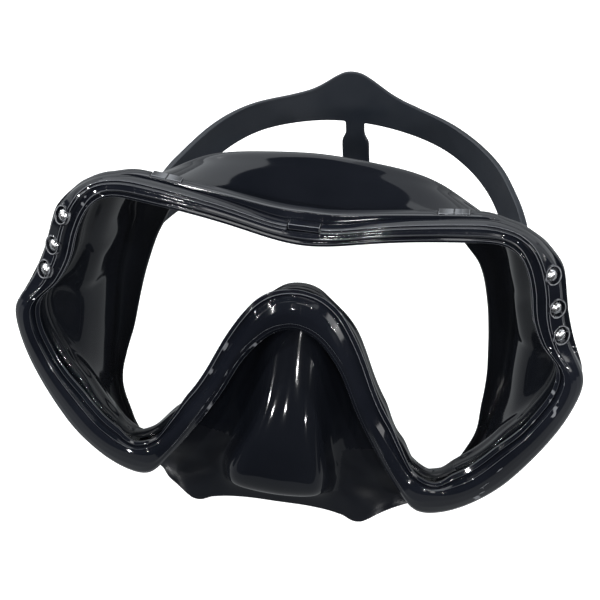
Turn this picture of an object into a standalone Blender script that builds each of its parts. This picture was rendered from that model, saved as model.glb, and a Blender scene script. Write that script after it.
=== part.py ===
"""A single-lens diving mask with a silicone skirt, a split head strap and two
swivel buckles.

The pieces are laid out in the mask's own axes, in millimetres: x to the
viewer's right, y from the front of the bezel back towards the wearer, z up,
with the lens standing in the xz plane.  The whole mask hangs on one empty that
leans it back until the two points of the lip flange and the bottom of the
strap stand on the ground.
"""

import math

import bmesh
import bpy
import numpy as np
from mathutils import Vector

MM = 0.001

# ---------------------------------------------------------------- dimensions
# Depths from the front of the bezel.
SEAM_Y = 8.0            # bezel to rear frame, round most of the ring
EAR_SEAM_Y = 13.0       # the same seam on the ears, which sweep back
LENS_FRONT, LENS_BACK = 5.3, 8.8
REAR_FRAME_BACK = 14.5
LENS_TUCK = 3.0         # how far the lens runs under the bezel
FLANGE_TUCK = 4.3       # how far the skirt's flange runs under the bezel
FLANGE_Y = 10.35        # middle of the skirt's flange
SKIRT_THICK = 2.0
STRAP_THICK = 2.2
GAP = 0.3
RING = 44               # steps round half of the ring

# Lens edge and bezel edge, right half, from the top centre round the ear and
# the cheek lobe and up over the nose: (lens x, lens z, bezel x, bezel z).
OUTLINE = (
    (0, 17, 0, 23), (10, 18, 10, 23.5), (22, 20.5, 21, 26), (35, 22.7, 34, 28.4),
    (47, 24.2, 48, 30.4), (57, 25, 59, 31.3), (63, 24, 66.8, 29.6), (67, 21, 73.6, 24.9),
    (69.5, 16.5, 78.5, 18.5), (71.5, 10, 81, 11), (72.5, 4, 82.5, 4),
    (74.5, -1.5, 84.5, -2.5), (77.5, -7, 87.5, -9), (81.5, -11.5, 91, -15),
    (83, -16.5, 92, -20), (82, -22.5, 90.5, -27), (79, -29, 87.5, -35),
    (74.5, -36.5, 83, -43.5), (68.5, -44.5, 77.5, -52), (62, -52, 70.5, -61),
    (56, -56.5, 62.5, -68.5), (50, -58, 52, -73.5), (45, -56.5, 44, -72.5),
    (40.2, -52, 38.3, -64.5), (35.5, -46, 32.3, -55.5), (30.4, -39, 26.3, -46),
    (25.8, -30.5, 20.8, -36), (21.5, -20.5, 16.4, -26.2), (16.7, -11.5, 11.5, -19.2),
    (11.9, -4.8, 7.6, -15), (6.3, 0.2, 3.8, -12.8), (0, 1.6, 0, -12),
)
LAST = len(OUTLINE) - 1

# How far the rear frame stands past the bezel's edge, by outline station.
REAR_PROUD = (
    (0, 3.0), (1, 2.6), (2, 1.6), (3, 0.9), (4, 0.5), (5, 0.4), (6, 0.7), (7, 1.1), (8, 1.3), (11, 1.3), (12, 0.9),
    (13, 0.1), (14.5, -0.8), (31, -0.8))
FLANK_DEPTH = 3.5       # how much further back its rim runs behind the ears

# Skirt, by outline station: the shoulder of the face seal, then its inner edge.
SEAL = (
    (0, (0, 32, 37), (0, 33, 26)),
    (3, (33, 33, 33), (25, 34.5, 23)),
    (5, (48, 39, 24), (40.5, 40, 19)),
    (7, (62, 47, 13), (49, 45.5, 9.5)),
    (9, (66.5, 53, 1), (55.5, 50, -1.5)),
    (11, (69, 54, -9), (58.8, 51, -12)),
    (14, (70.5, 52, -22), (61, 49, -24)),
    (16, (70, 49, -38), (62.6, 46, -39)),
    (17, (69, 46.5, -48), (63.3, 44, -48)),
    (18, (67, 43, -58), (63, 41.5, -59)),
    (19, (62, 38, -70), (57.5, 37.5, -70)),
)
# Skirt round the nose, by outline station: behind the frame, pocket wall,
# ridge, ridge foot, pocket floor front, floor back, lip edge.
NOSE = (
    (20, (56, 18.5, -58.5), (55.5, 24, -63.5), (54, 28, -69), (52, 30, -74), (50.5, 31, -77.5), (49, 30.5, -79.5), (47, 27.5, -79.5)),
    (21, (50, 18, -60), (48.5, 21, -65), (45, 22.5, -69.5), (41.5, 22.5, -72.5), (39.5, 21.5, -74), (38, 19.5, -75.5), (37, 16.5, -79)),
    (22, (43.5, 17.2, -62), (38, 17.5, -66), (32, 17, -68), (28, 16, -69.5), (27, 15.5, -72), (27, 14.8, -76.5), (27.5, 14, -83)),
    (24, (31.5, 17, -56.5), (22, 15, -58), (16.5, 11, -59.5), (15.3, 7.5, -63), (15.8, 8.5, -68), (18, 12, -72.5), (21.5, 14.2, -82)),
    (26, (20.3, 17, -37), (13.8, 12.5, -40), (11.2, 6.6, -48), (12.3, 1.2, -60.5), (12.8, 4.2, -68.8), (13.5, 11, -72.5), (16, 14.5, -81)),
    (28, (10.8, 17, -20), (8.3, 11.5, -24.3), (7, 4.6, -43), (7.5, -0.8, -60), (7.6, 3, -70), (8, 10.5, -72.5), (9, 14.5, -80.5)),
    (31, (0, 17, -12.4), (0, 11.5, -19.5), (0, 4, -42), (0, -1.5, -60), (0, 2.5, -70.5), (0, 10.5, -72.5), (0, 14.5, -80.5)),
)

# Strap in plan, right half, from the middle of the back to the roller.
STRAP_PLAN = ((0, 152), (13, 151), (26, 146.5), (37, 139), (46, 127.5), (53, 114), (58.5, 99), (63.5, 83), (69, 67), (75, 54), (77.3, 46))
STRAP_TAIL = ((83.9, 46), (83.9, 54), (82.9, 62))
TAIL_END = (80.3, 86)    # the last stretch of the tail is flat: a snorkel keeper's seat
STRAP_SWAY = 4.0        # the soft strap bows this far to one side
STRAP_HALF = 10.0       # half width at the buckle
STRAP_SPREAD = 12.5     # how much higher the split band stands at the back
STRAP_BUMP = 11.0       # bump in the middle of the back
SLOT_HALF = 13.5        # half height of the slot at the bridge bar
SLOT_LENGTH = 73.0
BAR_HALF = 4.2          # half width of the bridge bar at its ends
BAR_FLARE = 2.0
STRAP_ARCH = 5.5        # the lower edge arches up by this much beside the head
STRAP_RISE = 20.0       # how much higher the back is than the buckles
STRAP_LEVEL = 128.0     # from here to the buckle the strap runs level
STRAP_ROLL = 0.12       # sideways lean of the back of the strap

# Buckle hardware on the right side.
PIVOT_Y, PIVOT_Z = 30.0, -19.0
LUG_X = (79.1, 82.1)
LUG_ROOT_X = (85.6, 89.2)
CHEEK_IN_X, CHEEK_OUT_X = (76.6, 78.8), (82.4, 84.6)
CHEEK_R, LUG_R = 6.2, 5.8
PIN_R, PIN_HOLE_R = 2.0, 2.35
HUB_Y = (37.4, 41.4)
RAIL_X = (76.4, 86.4)
RAIL_Y = (37.4, 50.0)
RAIL_HALF = (10.4, 13.2)
ROLLER_X, ROLLER_Y, ROLLER_R, JOURNAL_R = 80.6, 46.0, 1.9, 1.2
LEVER_X, LEVER_Y = 84.9, 40.6
LEVER_PIN_R, KNUCKLE_R = 0.9, 1.7
LEVER_PLATE_X = (85.45, 87.0)
LEVER_END_Y = 56.0

# Studs on the ear: where each one sits along the outline, and its size.
STUD_STATIONS = (8.15, 9.65, 11.0)
STUD_ACROSS = 0.76
STUD_R, RECESS_R, RECESS_DEPTH = 2.0, 2.7, 1.4

# ------------------------------------------------------------------ materials
COLOURS = {
    "gloss_black": ((0.010, 0.011, 0.013), 0.12, 0.0),
    "black_silicone": ((0.014, 0.015, 0.017), 0.30, 0.0),
    "strap_silicone": ((0.026, 0.029, 0.034), 0.45, 0.0),
    "clear_glass": ((0.90, 0.95, 0.95), 0.02, 0.0),
    "buckle_plastic": ((0.020, 0.021, 0.024), 0.35, 0.0),
    "steel": ((0.55, 0.56, 0.57), 0.28, 1.0),
    "polished_steel": ((0.52, 0.53, 0.55), 0.10, 1.0),
}


def material(name):
    made = bpy.data.materials.get(name)
    if made:
        return made
    colour, rough, metal = COLOURS[name]
    made = bpy.data.materials.new(name)
    made.use_nodes = True
    shader = made.node_tree.nodes["Principled BSDF"]
    shader.inputs["Base Color"].default_value = (*colour, 1)
    shader.inputs["Roughness"].default_value = rough
    shader.inputs["Metallic"].default_value = metal
    if name == "clear_glass":
        shader.inputs["Transmission Weight"].default_value = 1
    made.diffuse_color = (*colour, 1)
    return made


# ---------------------------------------------------------------- scene set-up
for old in list(bpy.data.objects):
    bpy.data.objects.remove(old, do_unlink=True)
PARTS = bpy.data.collections.new("diving_mask")
CUTTERS = bpy.data.collections.new("diving_mask_cutters")
bpy.context.scene.collection.children.link(PARTS)
bpy.context.scene.collection.children.link(CUTTERS)


def empty(name, at, parent=None, parent_at=(0, 0, 0)):
    made = bpy.data.objects.new(name, None)
    made.empty_display_size = 0.01
    PARTS.objects.link(made)
    made.parent = parent
    made.location = (Vector(at) - Vector(parent_at)) * MM
    made["at"] = list(at)
    return made


ROOT = empty("mask_root", (0, 0, 0))
STRAP_HINGE = empty("strap_hinge", (0, PIVOT_Y, PIVOT_Z), ROOT)


def place(name, mesh_object, finish, parent):
    """Hang a piece that is drawn in mask axes on an empty."""
    mesh_object.name = name
    mesh_object.data.name = name
    mesh_object.parent = parent
    at = Vector(parent["at"]) * MM
    for vertex in mesh_object.data.vertices:
        vertex.co -= at
    for extra in (mesh_object.modifiers or ()):
        if extra.type == "BOOLEAN" and extra.object:
            cutter = extra.object
            cutter.parent = parent
            for vertex in cutter.data.vertices:
                vertex.co -= at
    mesh_object.data.materials.clear()
    mesh_object.data.materials.append(material(finish))
    return mesh_object


def to_object(bm, collection=PARTS, smooth=40):
    bmesh.ops.remove_doubles(bm, verts=bm.verts, dist=1e-4 * 0.05)
    bmesh.ops.recalc_face_normals(bm, faces=bm.faces)
    mesh = bpy.data.meshes.new("piece")
    bm.to_mesh(mesh)
    bm.free()
    if smooth:
        mesh.shade_smooth()
        mesh.set_sharp_from_angle(angle=math.radians(smooth))
    made = bpy.data.objects.new("piece", mesh)
    collection.objects.link(made)
    return made


def cutter(made):
    for holder in list(made.users_collection):
        holder.objects.unlink(made)
    CUTTERS.objects.link(made)
    made.hide_render = True
    made.display_type = "WIRE"
    return made


def boolean(target, other, operation):
    change = target.modifiers.new(operation.lower(), "BOOLEAN")
    change.operation = operation
    change.object = cutter(other)
    change.solver = "EXACT"


def bake(target):
    """Turn the modifiers into plain mesh, so that more can be done to it."""
    graph = bpy.context.evaluated_depsgraph_get()
    graph.update()
    mesh = bpy.data.meshes.new_from_object(target.evaluated_get(graph))
    target.modifiers.clear()
    target.data = mesh
    return target


# ------------------------------------------------------------------- geometry
def spline(points, u, mirrored=(True, True)):
    """A Catmull-Rom curve through points, at station u.  An end that is
    mirrored carries on symmetrically across x = 0."""
    pts = np.asarray(points, float)
    count = len(pts)
    i = min(int(math.floor(u)), count - 2)
    t = u - i

    def at(k):
        if 0 <= k < count:
            return pts[k]
        if mirrored[0 if k < 0 else 1]:
            ghost = pts[1].copy() if k < 0 else pts[count - 2].copy()
            ghost[0::MIRROR_STEP.get(len(ghost), 2)] *= -1
            return ghost
        return 2 * pts[0] - pts[1] if k < 0 else 2 * pts[-1] - pts[-2]

    a, b, c, d = at(i - 1), at(i), at(i + 1), at(i + 2)
    return 0.5 * (2 * b + (c - a) * t + (2 * a - 5 * b + 4 * c - d) * t * t + (3 * b - a - 3 * c + d) * t**3)


MIRROR_STEP = {4: 2, 3: 3, 2: 2}


def keyed(table, u):
    """Smooth interpolation of a table of (station, value, value, ...) rows."""
    stations = [row[0] for row in table]
    u = min(max(u, stations[0]), stations[-1])
    k = max(i for i, s in enumerate(stations) if s <= u)
    k = min(k, len(table) - 2)

    def rows(i):
        return np.array(table[min(max(i, 0), len(table) - 1)][1:], float)

    span = stations[k + 1] - stations[k]
    t = (u - stations[k]) / span
    before = stations[max(k - 1, 0)]
    after = stations[min(k + 2, len(table) - 1)]
    m0 = (rows(k + 1) - rows(k - 1)) / max(stations[k + 1] - before, 1e-6) * span
    m1 = (rows(k + 2) - rows(k)) / max(after - stations[k], 1e-6) * span
    if k == 0:
        m0 = (rows(1) - rows(0)) * 0.0 + (rows(1) - rows(0))
    t2, t3 = t * t, t**3
    return (2 * t3 - 3 * t2 + 1) * rows(k) + (t3 - 2 * t2 + t) * m0 + (3 * t2 - 2 * t3) * rows(k + 1) + (t3 - t2) * m1


def smooth(t):
    t = min(max(t, 0.0), 1.0)
    return t * t * (3 - 2 * t)


def station(u):
    """Lens edge, outward direction in the xz plane and bezel width."""
    row = spline(OUTLINE, u)
    inner, outer = row[:2], row[2:]
    across = outer - inner
    width = float(np.hypot(*across))
    return inner, across / width, width


def ear(u):
    return smooth((u - 5.5) / 2.5) * (1 - smooth((u - 11.8) / 2.7))


def seam_y(u):
    return SEAM_Y + (EAR_SEAM_Y - SEAM_Y) * ear(u)


def nose_tuck(u):
    """Over the nose the skirt and what clamps it sit further under the bezel."""
    return 1.0 * smooth((u - 22) / 4)


def at_station(u, n, y):
    inner, out, _ = station(u)
    p = inner + out * n
    return (p[0], y, p[1])


def ring_stations(count):
    """Half-outline stations and the mirror sign for one trip round the ring."""
    right = [LAST * j / count for j in range(count + 1)]
    return [(u, 1) for u in right] + [(u, -1) for u in right[-2:0:-1]]


def loft(sections, closed_section=True):
    """Quads between neighbouring sections of a ring."""
    bm = bmesh.new()
    rows = [[bm.verts.new(Vector(p) * MM) for p in section] for section in sections]
    for k, row in enumerate(rows):
        after = rows[(k + 1) % len(rows)]
        last = len(row) if closed_section else len(row) - 1
        for j in range(last):
            m = (j + 1) % len(row)
            bm.faces.new((row[j], row[m], after[m], after[j]))
    return bm


def box(x, y, z):
    bm = bmesh.new()
    bmesh.ops.create_cube(bm, size=1)
    for v in bm.verts:
        v.co = Vector((
            (x[0] + x[1]) / 2 + v.co.x * (x[1] - x[0]),
            (y[0] + y[1]) / 2 + v.co.y * (y[1] - y[0]),
            (z[0] + z[1]) / 2 + v.co.z * (z[1] - z[0]),
        )) * MM
    return to_object(bm, smooth=0)


def rod(centre, direction, radius, length, sides=20):
    """A cylinder about its middle, along a direction."""
    bm = bmesh.new()
    bmesh.ops.create_cone(bm, cap_ends=True, segments=sides, radius1=radius, radius2=radius, depth=length)
    turn = Vector((0, 0, 1)).rotation_difference(Vector(direction)).to_matrix()
    for v in bm.verts:
        v.co = (turn @ v.co + Vector(centre)) * MM
    return to_object(bm)


def turned(profile, base, direction, sides=20):
    """A profile of (radius, height), top to bottom, turned about a direction."""
    bm = bmesh.new()
    line = [bm.verts.new((r * MM, 0, h * MM)) for r, h in profile]
    for a, b in zip(line, line[1:]):
        bm.edges.new((a, b))
    mesh = bpy.data.meshes.new("profile")
    bm.to_mesh(mesh)
    bm.free()
    made = bpy.data.objects.new("profile", mesh)
    PARTS.objects.link(made)
    turn = made.modifiers.new("turn", "SCREW")
    turn.axis = "Z"
    turn.angle = 2 * math.pi
    turn.steps = turn.render_steps = sides
    turn.use_merge_vertices = True
    turn.merge_threshold = 0.00001
    turn.use_smooth_shade = True
    bpy.context.view_layer.update()
    bake(made)
    frame = Vector((0, 0, 1)).rotation_difference(Vector(direction)).to_matrix()
    for v in made.data.vertices:
        v.co = frame @ v.co + Vector(base) * MM
    made.data.set_sharp_from_angle(angle=math.radians(40))
    return made


def mirror_x(made):
    """The same piece for the left side."""
    copy = bpy.data.objects.new(made.name + "_left", made.data.copy())
    PARTS.objects.link(copy)
    bm = bmesh.new()
    bm.from_mesh(copy.data)
    for v in bm.verts:
        v.co.x = -v.co.x
    bmesh.ops.reverse_faces(bm, faces=bm.faces)
    bm.to_mesh(copy.data)
    bm.free()
    return copy


# ----------------------------------------------------------------------- lens
def lens_piece(count=RING):
    curve = bpy.data.curves.new("lens", "CURVE")
    curve.dimensions = "2D"
    curve.fill_mode = "BOTH"
    curve.extrude = (LENS_BACK - LENS_FRONT) / 2 * MM
    line = curve.splines.new("POLY")
    ring = ring_stations(count)
    line.points.add(len(ring) - 1)
    for point, (u, side) in zip(line.points, ring):
        x, _, z = at_station(u, LENS_TUCK, 0)
        point.co = (side * x * MM, z * MM, 0, 1)
    line.use_cyclic_u = True
    flat = bpy.data.objects.new("lens", curve)
    PARTS.objects.link(flat)
    bpy.context.view_layer.update()
    mesh = bpy.data.meshes.new_from_object(flat.evaluated_get(bpy.context.evaluated_depsgraph_get()))
    bpy.data.objects.remove(flat)
    bm = bmesh.new()
    bm.from_mesh(mesh)
    middle = (LENS_FRONT + LENS_BACK) / 2 * MM
    for v in bm.verts:
        v.co = Vector((v.co.x, middle + v.co.z, v.co.y))
    return to_object(bm)


# --------------------------------------------------------------------- bezel
def bezel_section(u, side):
    """Stepped lip against the lens, then the fat roll, then the flat back."""
    inner, out, w = station(u)
    e = ear(u)
    back = seam_y(u)
    crest = 0.52 - 0.20 * e
    profile = (
        (0.0, 5.0), (0.0, 3.5), (0.8, 3.0), (1.6, 3.6), (2.0, 3.3),
        (2.0 + (crest * w - 2.0) * 0.45, 1.1), (crest * w, 0.2),
        (crest * w + (1 - crest) * w * 0.42, 1.5 + 2.0 * e),
        (w * 0.93, back * (0.55 - 0.13 * e)), (w, back - 1.2), (w - 0.5, back),
        (4.2, SEAM_Y), (4.2, 5.0),
    )
    return [(side * (inner[0] + out[0] * n), y, inner[1] + out[1] * n) for n, y in profile]


def ear_surface(u, across):
    """Point and outward normal on the front of an ear."""

    def on(v, a):
        _, _, w = station(v)
        crest = 0.52 - 0.20 * ear(v)
        knots = ((crest, 0.2), (crest + (1 - crest) * 0.42, 1.5 + 2.0 * ear(v)), (0.93, seam_y(v) * (0.55 - 0.13 * ear(v))))
        ys = np.interp(a, [k[0] for k in knots], [k[1] for k in knots])
        return Vector(at_station(v, a * w, float(ys)))

    along = on(u + 0.2, across) - on(u - 0.2, across)
    out = on(u, across + 0.08) - on(u, across - 0.08)
    normal = along.cross(out).normalized()
    if normal.y > 0:
        normal = -normal
    return on(u, across), normal


bezel = to_object(loft([bezel_section(u, s) for u, s in ring_stations(RING)]), smooth=50)
for name_side, side in (("right", 1), ("left", -1)):
    for number, u in enumerate(STUD_STATIONS, 1):
        point, normal = ear_surface(u, STUD_ACROSS)
        point.x *= side
        normal.x *= side
        boolean(bezel, rod(point, normal, RECESS_R, 2 * RECESS_DEPTH, 16), "DIFFERENCE")
        dome = turned(
            ((0, 0.9), (0.9, 0.75), (1.6, 0.25), (STUD_R, -0.5), (STUD_R, -1.1), (0, -1.1)),
            point, normal, 14)
        place(f"stud_{name_side}_{number}", dome, "polished_steel", ROOT)

CLIP_HALF, CLIP_TALL = 4.9, 1.5
clip_top = OUTLINE[0][3] + 0.1
boolean(bezel, box((-CLIP_HALF - GAP, CLIP_HALF + GAP), (3.0, 9.0), (clip_top - CLIP_TALL - GAP, clip_top + 3)), "DIFFERENCE")
place("front_frame", bezel, "gloss_black", ROOT)
clip = box((-CLIP_HALF, CLIP_HALF), (4.6, SEAM_Y - 0.1), (clip_top - CLIP_TALL, clip_top))
round_clip = clip.modifiers.new("round", "BEVEL")
round_clip.width = 0.0004
round_clip.segments = 2
place("centre_clip", clip, "gloss_black", ROOT)

place("lens", lens_piece(), "clear_glass", ROOT)


# ---------------------------------------------------------------- rear frame
def flank(u):
    """1 behind the ears, where the rim of the rear frame runs further back."""
    return smooth((u - 6.4) / 1.3) * (1 - smooth((u - 10.6) / 1.2))


def rear_section(u, side):
    inner, out, w = station(u)
    wide = w + float(keyed(REAR_PROUD, u)[0])
    back = seam_y(u)

    def seam(n):
        return SEAM_Y + (back - SEAM_Y) * (n - 4.2) / (w - 4.7) + 2.2 * GAP

    lip, wall = 3.0 + nose_tuck(u), 4.9 + nose_tuck(u)
    rim = REAR_FRAME_BACK + FLANK_DEPTH * flank(u)
    turn = min(wide - 0.1, w - 0.5)
    profile = (
        (lip, 11.9), (wall, 11.9), (wall, seam(wall)), (turn, seam(turn)), (wide, min(seam(wide), back + 2.2 * GAP)),
        (wide, rim - 0.8), (wide - 0.8, rim), (wide - 2.6, rim), (wide - 2.9, REAR_FRAME_BACK), (lip, REAR_FRAME_BACK),
    )
    return [(side * (inner[0] + out[0] * n), y, inner[1] + out[1] * n) for n, y in profile]


rear = to_object(loft([rear_section(u, s) for u, s in ring_stations(RING)]), smooth=50)


def lug_piece():
    """The lug stands on the back of the ring outside the skirt, then steps
    inwards between the buckle's cheeks."""
    bm = bmesh.new()
    plan = (
        (LUG_ROOT_X[0], REAR_FRAME_BACK - 0.9), (LUG_ROOT_X[1], REAR_FRAME_BACK - 0.9), (LUG_ROOT_X[1], 15.6),
        (LUG_X[1], 22.8), (LUG_X[1], PIVOT_Y), (LUG_X[0], PIVOT_Y), (LUG_X[0], 22.6), (LUG_ROOT_X[0], 16.6),
    )
    ends = [[bm.verts.new(Vector((x, y, z)) * MM) for x, y in plan] for z in (PIVOT_Z - LUG_R, PIVOT_Z + LUG_R)]
    bm.faces.new(ends[0])
    bm.faces.new(ends[1])
    for k in range(len(plan)):
        m = (k + 1) % len(plan)
        bm.faces.new((ends[0][k], ends[0][m], ends[1][m], ends[1][k]))
    return to_object(bm, smooth=0)


for side in (1, -1):
    x = sorted((side * LUG_X[0], side * LUG_X[1]))
    lug = lug_piece()
    if side < 0:
        right_lug, lug = lug, mirror_x(lug)
        bpy.data.objects.remove(right_lug)
    boolean(rear, lug, "UNION")
    boolean(rear, rod((sum(x) / 2, PIVOT_Y, PIVOT_Z), (1, 0, 0), LUG_R, LUG_X[1] - LUG_X[0], 24), "UNION")
    boolean(rear, rod((sum(x) / 2, PIVOT_Y, PIVOT_Z), (1, 0, 0), PIN_HOLE_R, 12, 20), "DIFFERENCE")

# Snap clips let into the top edge of the rear frame.
CLIP_U = 3.78


def rear_edge(u):
    return Vector(at_station(u, station(u)[2] + float(keyed(REAR_PROUD, u)[0]), 0))


def along_edge(made, side):
    """Turn a box about the middle of its top edge to follow the frame's edge."""
    rise = rear_edge(CLIP_U + 0.3) - rear_edge(CLIP_U - 0.3)
    angle = math.atan2(rise.z, rise.x)
    for v in made.data.vertices:
        x, z = v.co.x, v.co.z
        v.co.x = x * math.cos(angle) - z * math.sin(angle)
        v.co.z = x * math.sin(angle) + z * math.cos(angle)
        v.co += rear_edge(CLIP_U) * MM
        v.co.x *= side
    if side < 0:
        made.data.flip_normals()
    return made


for name_side, side in (("right", 1), ("left", -1)):
    pocket = box((-4.8 - GAP, 4.8 + GAP), (11.0, 16.0), (-1.5 - GAP, 3))
    boolean(rear, along_edge(pocket, side), "DIFFERENCE")
    snap = along_edge(box((-4.8, 4.8), (11.0 + GAP, REAR_FRAME_BACK), (-1.5, -0.1)), side)
    rounded = snap.modifiers.new("round", "BEVEL")
    rounded.width = 0.0003
    rounded.segments = 2
    place(f"clip_{name_side}", snap, "gloss_black", ROOT)
place("rear_frame", rear, "gloss_black", ROOT)


# --------------------------------------------------------------------- skirt
def skirt_rows(u, side):
    """Middle of the silicone, from the lens flange to the edge of the seal."""
    tuck = nose_tuck(u)
    rows = [
        at_station(u, FLANGE_TUCK + tuck, FLANGE_Y), at_station(u, 1.1 + tuck, FLANGE_Y),
        at_station(u, 1.0 + tuck, 13.4), at_station(u, 1.1 + tuck, 16.2),
    ]

    def sealed(v):
        shoulder, edge = keyed(SEAL, v)
        start = np.array(at_station(v, 1.2, 16.2))
        wall = []
        early = smooth((v - 5) / 3) * (1 - smooth((v - 15) / 4))
        for k in range(1, 6):
            t = k / 5
            ease = smooth(t) * (1 - early) + (1 - (1 - t) ** 4.3) * early
            wall.append(start + (shoulder - start) * np.array((ease, t, ease)))
        roll = shoulder * 0.72 + edge * 0.28
        roll[1] = max(shoulder[1], edge[1]) + 1.6
        return wall + [roll, edge]

    if u <= 19:
        rows += sealed(u)
    elif u >= 20:
        rows += list(keyed(NOSE, u))
    else:
        t = smooth(u - 19)
        rows += [(1 - t) * np.array(a) + t * np.array(b) for a, b in zip(sealed(19), keyed(NOSE, 20))]
    return [(side * p[0], p[1], p[2]) for p in rows]


skirt = to_object(loft([skirt_rows(u, s) for u, s in ring_stations(RING)], closed_section=False), smooth=60)
thick = skirt.modifiers.new("thickness", "SOLIDIFY")
thick.thickness = SKIRT_THICK * MM
thick.offset = 0
place("skirt", skirt, "black_silicone", ROOT)


# --------------------------------------------------------------------- strap
def strap_line(steps_back=26, steps_turn=8, steps_tail=5):
    """Plan of the right half as (x, y, distance from the middle of the back)."""
    line = [spline(STRAP_PLAN, (len(STRAP_PLAN) - 1) * k / steps_back, (True, False)) for k in range(steps_back + 1)]
    fold = ROLLER_X - STRAP_PLAN[-1][0]
    for k in range(1, steps_turn + 1):
        a = math.pi + math.pi * k / steps_turn
        line.append(np.array((ROLLER_X + fold * math.cos(a), ROLLER_Y + fold * math.sin(a))))
    for k in range(1, steps_tail + 1):
        line.append(spline(STRAP_TAIL, (len(STRAP_TAIL) - 1) * k / steps_tail, (False, False)))
    line.append(np.array(TAIL_END))
    far = [0.0]
    for a, b in zip(line, line[1:]):
        far.append(far[-1] + float(np.hypot(*(b - a))))
    return [(float(p[0]), float(p[1]), d) for p, d in zip(line, far)]


def strap_middle(d):
    return PIVOT_Z + STRAP_RISE * (1 - min(d / STRAP_LEVEL, 1) ** 6) ** 1.3


def strap_half(d):
    return STRAP_HALF + STRAP_SPREAD * smooth(1 - d / 125) + STRAP_BUMP * math.exp(-(d / 14.5) ** 2)


def arch(d):
    return STRAP_ARCH * smooth((d - 62) / 20) * (1 - smooth((d - 108) / 14))


def slot_half(d):
    return SLOT_HALF * (1 - (d / SLOT_LENGTH) ** 1.5) if d < SLOT_LENGTH else 0.0


def sway(y):
    return STRAP_SWAY * smooth((y - LEVER_END_Y - 1) / 25)


def strap_piece():
    bm = bmesh.new()
    line = strap_line()
    run = max(d for x, y, d in line if x < ROLLER_X)

    def on_line(d):
        for a, b in zip(line, line[1:]):
            if a[2] <= d <= b[2]:
                t = (d - a[2]) / (b[2] - a[2])
                return a[0] + (b[0] - a[0]) * t, a[1] + (b[1] - a[1]) * t
        return line[-1][0], line[-1][1]

    distances = [0.0, BAR_HALF] + [d for _, _, d in line if BAR_HALF + 1 < d < SLOT_LENGTH - 2] + [SLOT_LENGTH]
    distances += [d for _, _, d in line if d > SLOT_LENGTH + 2]

    def point(d, height, side):
        x, y = on_line(d)
        lean = STRAP_ROLL * height * smooth((y - 100) / 40)
        aside = sway(y) - lean if d < run else 0.0
        return bm.verts.new(Vector((side * x + aside, y, strap_middle(d) + height)) * MM)

    for side in (1, -1):
        for up in (1, -1):
            columns = []
            for d in distances:
                low, high = slot_half(d), strap_half(d) - (arch(d) if up < 0 else 0)
                columns.append([point(d, up * (low + (high - low) * f), side) for f in (0, 0.5, 1)])
            for a, b in zip(columns, columns[1:]):
                for k in (0, 1):
                    bm.faces.new((a[k], a[k + 1], b[k + 1], b[k]))
            top = slot_half(0)
            bar = []
            for k in range(4):
                h = top * (1 - k / 3)
                edge = BAR_HALF + BAR_FLARE * smooth(k / 3)
                bar.append((point(0, up * h, side), point(edge, up * (h if k else slot_half(BAR_HALF)), side)))
            for a, b in zip(bar, bar[1:]):
                bm.faces.new((a[0], a[1], b[1], b[0]))
    return to_object(bm, smooth=50)


strap = strap_piece()
thick = strap.modifiers.new("thickness", "SOLIDIFY")
thick.thickness = STRAP_THICK * MM
thick.offset = 0
place("strap", strap, "strap_silicone", STRAP_HINGE)


# ------------------------------------------------------------------- buckles
def rail_plate(z):
    plate = box(RAIL_X, RAIL_Y, z)
    soft = plate.modifiers.new("round", "BEVEL")
    soft.width = 0.0012
    soft.segments = 2
    return bake(plate)


def buckle_piece():
    hub_z = (PIVOT_Z - RAIL_HALF[0] - 1, PIVOT_Z + RAIL_HALF[0] + 1)
    body = box((CHEEK_IN_X[0], LEVER_X - KNUCKLE_R - GAP), HUB_Y, hub_z)
    boolean(body, box((CHEEK_IN_X[0] + 1, CHEEK_OUT_X[1]), (HUB_Y[0] - 0.4, LEVER_Y - KNUCKLE_R - GAP), hub_z), "UNION")
    for x in (CHEEK_IN_X, CHEEK_OUT_X):
        boolean(body, rod((sum(x) / 2, PIVOT_Y, PIVOT_Z), (1, 0, 0), CHEEK_R, x[1] - x[0], 24), "UNION")
        boolean(body, box(x, (PIVOT_Y, HUB_Y[0] + 0.6), (PIVOT_Z - CHEEK_R, PIVOT_Z + CHEEK_R)), "UNION")
    for z in ((PIVOT_Z + RAIL_HALF[0], PIVOT_Z + RAIL_HALF[1]), (PIVOT_Z - RAIL_HALF[1], PIVOT_Z - RAIL_HALF[0])):
        boolean(body, rail_plate(z), "UNION")
    boolean(body, rod((80, PIVOT_Y, PIVOT_Z), (1, 0, 0), PIN_HOLE_R, 30, 20), "DIFFERENCE")
    boolean(body, rod((ROLLER_X, ROLLER_Y, PIVOT_Z), (0, 0, 1), JOURNAL_R + GAP, 40, 16), "DIFFERENCE")
    boolean(body, rod((LEVER_X, LEVER_Y, PIVOT_Z), (0, 0, 1), LEVER_PIN_R + GAP, 40, 16), "DIFFERENCE")
    bpy.context.view_layer.update()
    return bake(body)


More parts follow.
